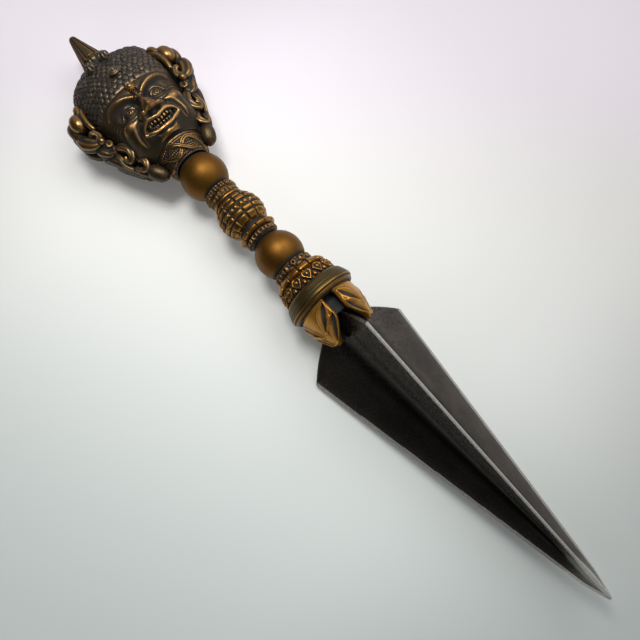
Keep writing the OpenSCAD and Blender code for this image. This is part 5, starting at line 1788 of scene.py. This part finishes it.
COMBED_LOCKS = [
    [(52.5, 32.0, -1.0, 2.8), (56.0, 33.6, 2.0, 3.6), (60.0, 33.2, 3.6, 3.9), (63.8, 31.0, 5.0, 3.5),
     (65.2, 27.9, 6.0, 2.6), (62.4, 26.0, 6.6, 2.1), (59.6, 27.4, 7.2, 1.8), (59.9, 29.6, 7.8, 1.4)],
    [(65.5, 30.2, 0.0, 3.2), (69.0, 28.9, 2.6, 3.5), (72.6, 26.8, 3.2, 3.0), (73.6, 24.4, 4.6, 2.2),
     (71.4, 23.2, 5.6, 1.6)],
    [(73.4, 23.4, 4.8, 1.8), (76.5, 21.2, 7.0, 2.5), (80.6, 19.6, 7.8, 2.5), (84.4, 20.6, 7.2, 2.0),
     (85.2, 23.0, 6.2, 1.5), (82.8, 24.0, 6.2, 1.2), (81.2, 22.6, 6.9, 1.0)],
    [(86.0, 19.8, 4.8, 1.7), (88.6, 17.8, 6.2, 2.1), (91.6, 17.6, 6.4, 2.0), (93.8, 19.2, 5.8, 1.6),
     (92.8, 21.2, 5.0, 1.3), (90.8, 20.8, 5.4, 1.0)],
    [(70.5, 29.0, -2.0, 3.0), (75.5, 27.4, 0.6, 3.2), (80.5, 25.8, 1.2, 2.8), (85.6, 24.0, 0.8, 2.2),
     (89.6, 22.2, 0.2, 1.4)],
    [(75.4, 25.4, 3.6, 1.5), (79.0, 25.4, 4.2, 1.7), (83.6, 25.6, 3.4, 1.5), (88.4, 23.6, 2.4, 1.1)],
    [(74.0, 27.6, -3.0, 3.2), (80.0, 25.4, -3.0, 3.4), (86.0, 22.4, -3.0, 3.4), (92.0, 19.6, -3.0, 3.2)],
    [(86.6, 22.8, 2.2, 1.8), (90.8, 22.2, 2.2, 1.9), (95.0, 20.0, 1.6, 1.6), (98.6, 18.0, 0.8, 1.1)],
    volute(69.6, 25.2, 5.6, 2.3, 1.35, start=90),
]
ROOT = [(40.0, 24.2, -2.4, 3.6), (48.0, 27.0, -2.6, 4.6), (61.3, 27.6, -2.6, 4.8), (77.8, 21.8, -2.6, 5.0),
        (90.0, 17.4, -2.4, 4.8), (99.0, 13.6, -2.0, 4.0)]
EYE_BEAD = (66.7, 26.7, 8.0)


def seated(points):
    """Pushes out whatever lies inside the head or the knot collar."""
    x, y, z = points.T
    u = (x - HEAD_START) / HEAD_LEN
    radius = np.hypot(y, z)
    angle = np.degrees(np.arctan2(y, z))
    collar_start, _, collar_r = span("knot_collar")
    limit = head_radius(u, angle) + 0.12
    collar = collar_r + 0.25 - NECK_SLOPE * (x - collar_start)
    limit = np.where(x > collar_start, np.maximum(limit, collar), limit)
    push = np.maximum(1, limit / np.maximum(radius, 1e-6))[:, None]
    return np.concatenate([points[:, :1], points[:, 1:] * push], 1)


def wing(name, side):
    """A wing on one side, skewed as the head leans, seated on the head and eased into its box."""
    skew = (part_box(name)[0].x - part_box("wing_left")[0].x) / MM

    def at(knots):
        """Puts the knots of a lock on this wing's side."""
        knots = np.array(knots, float)
        knots[:, 0] += skew * np.clip((103 - knots[:, 0]) / 63, 0, 1)
        knots[:, 1] *= side
        return knots

    def under(knots):
        """The same lock again on the underside."""
        knots = at(knots)
        return np.stack((knots[:, 0], knots[:, 1], -2.6 - 0.25 * knots[:, 2], 0.85 * knots[:, 3]), 1)

    parts = [lock(at(knots)) for knots in PLAIN_LOCKS + [ROOT]]
    parts += [lock(at(knots), flute=0.2) for knots in COMBED_LOCKS]
    parts += [lock(under(knots), flute=0.15) for knots in PLAIN_LOCKS[:3] + COMBED_LOCKS[:4]]
    bead_place = at([EYE_BEAD + (0,)])[0, :3]
    parts.append(button(bead_place, (0, 0, 1), 1.85, no_relief, reach=178))
    points, quads = melt(parts, 0.27)
    points = seated(points)
    widest = max(abs(corner.y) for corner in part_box(name)) / MM
    points[:, 1] = side * eased(side * points[:, 1], widest, 0.8)
    # Painted light and shade: a wing is lighter high up and near the cap, and darker low down.
    rub_and_shade = 0.3 * smooth((points[:, 2] - 1) / 8) - 0.3 + 0.28 * (1 - smooth((points[:, 0] - 46) / 22))
    return new_piece(name + "_cast", points, quads, HEAD_BRONZE, "bronze", name, rub_and_shade=rub_and_shade)


wing("wing_left", 1)
wing("wing_right", -1)

# %% [markdown]
# ## Pieces that stay as they are
# The tang, its nut and washer and the two cross pins are plain turned steel sealed inside the stack, and
# the casting under the shells of the head is dark bronze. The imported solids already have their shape, so
# they only take a finish.

# %% Sealed pieces
STEEL_PIECES = ("tang", "tang_washer", "tang_nut", "head_pin", "socket_pin")
shown = {name: solid for name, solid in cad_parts.items() if not solid.hide_render}
for name, solid in shown.items():
    solid.data.materials.clear()
    solid.data.materials.append(FASTENER if name in STEEL_PIECES else DARK_BRONZE)
print("solids that still show:", ", ".join(sorted(shown)))
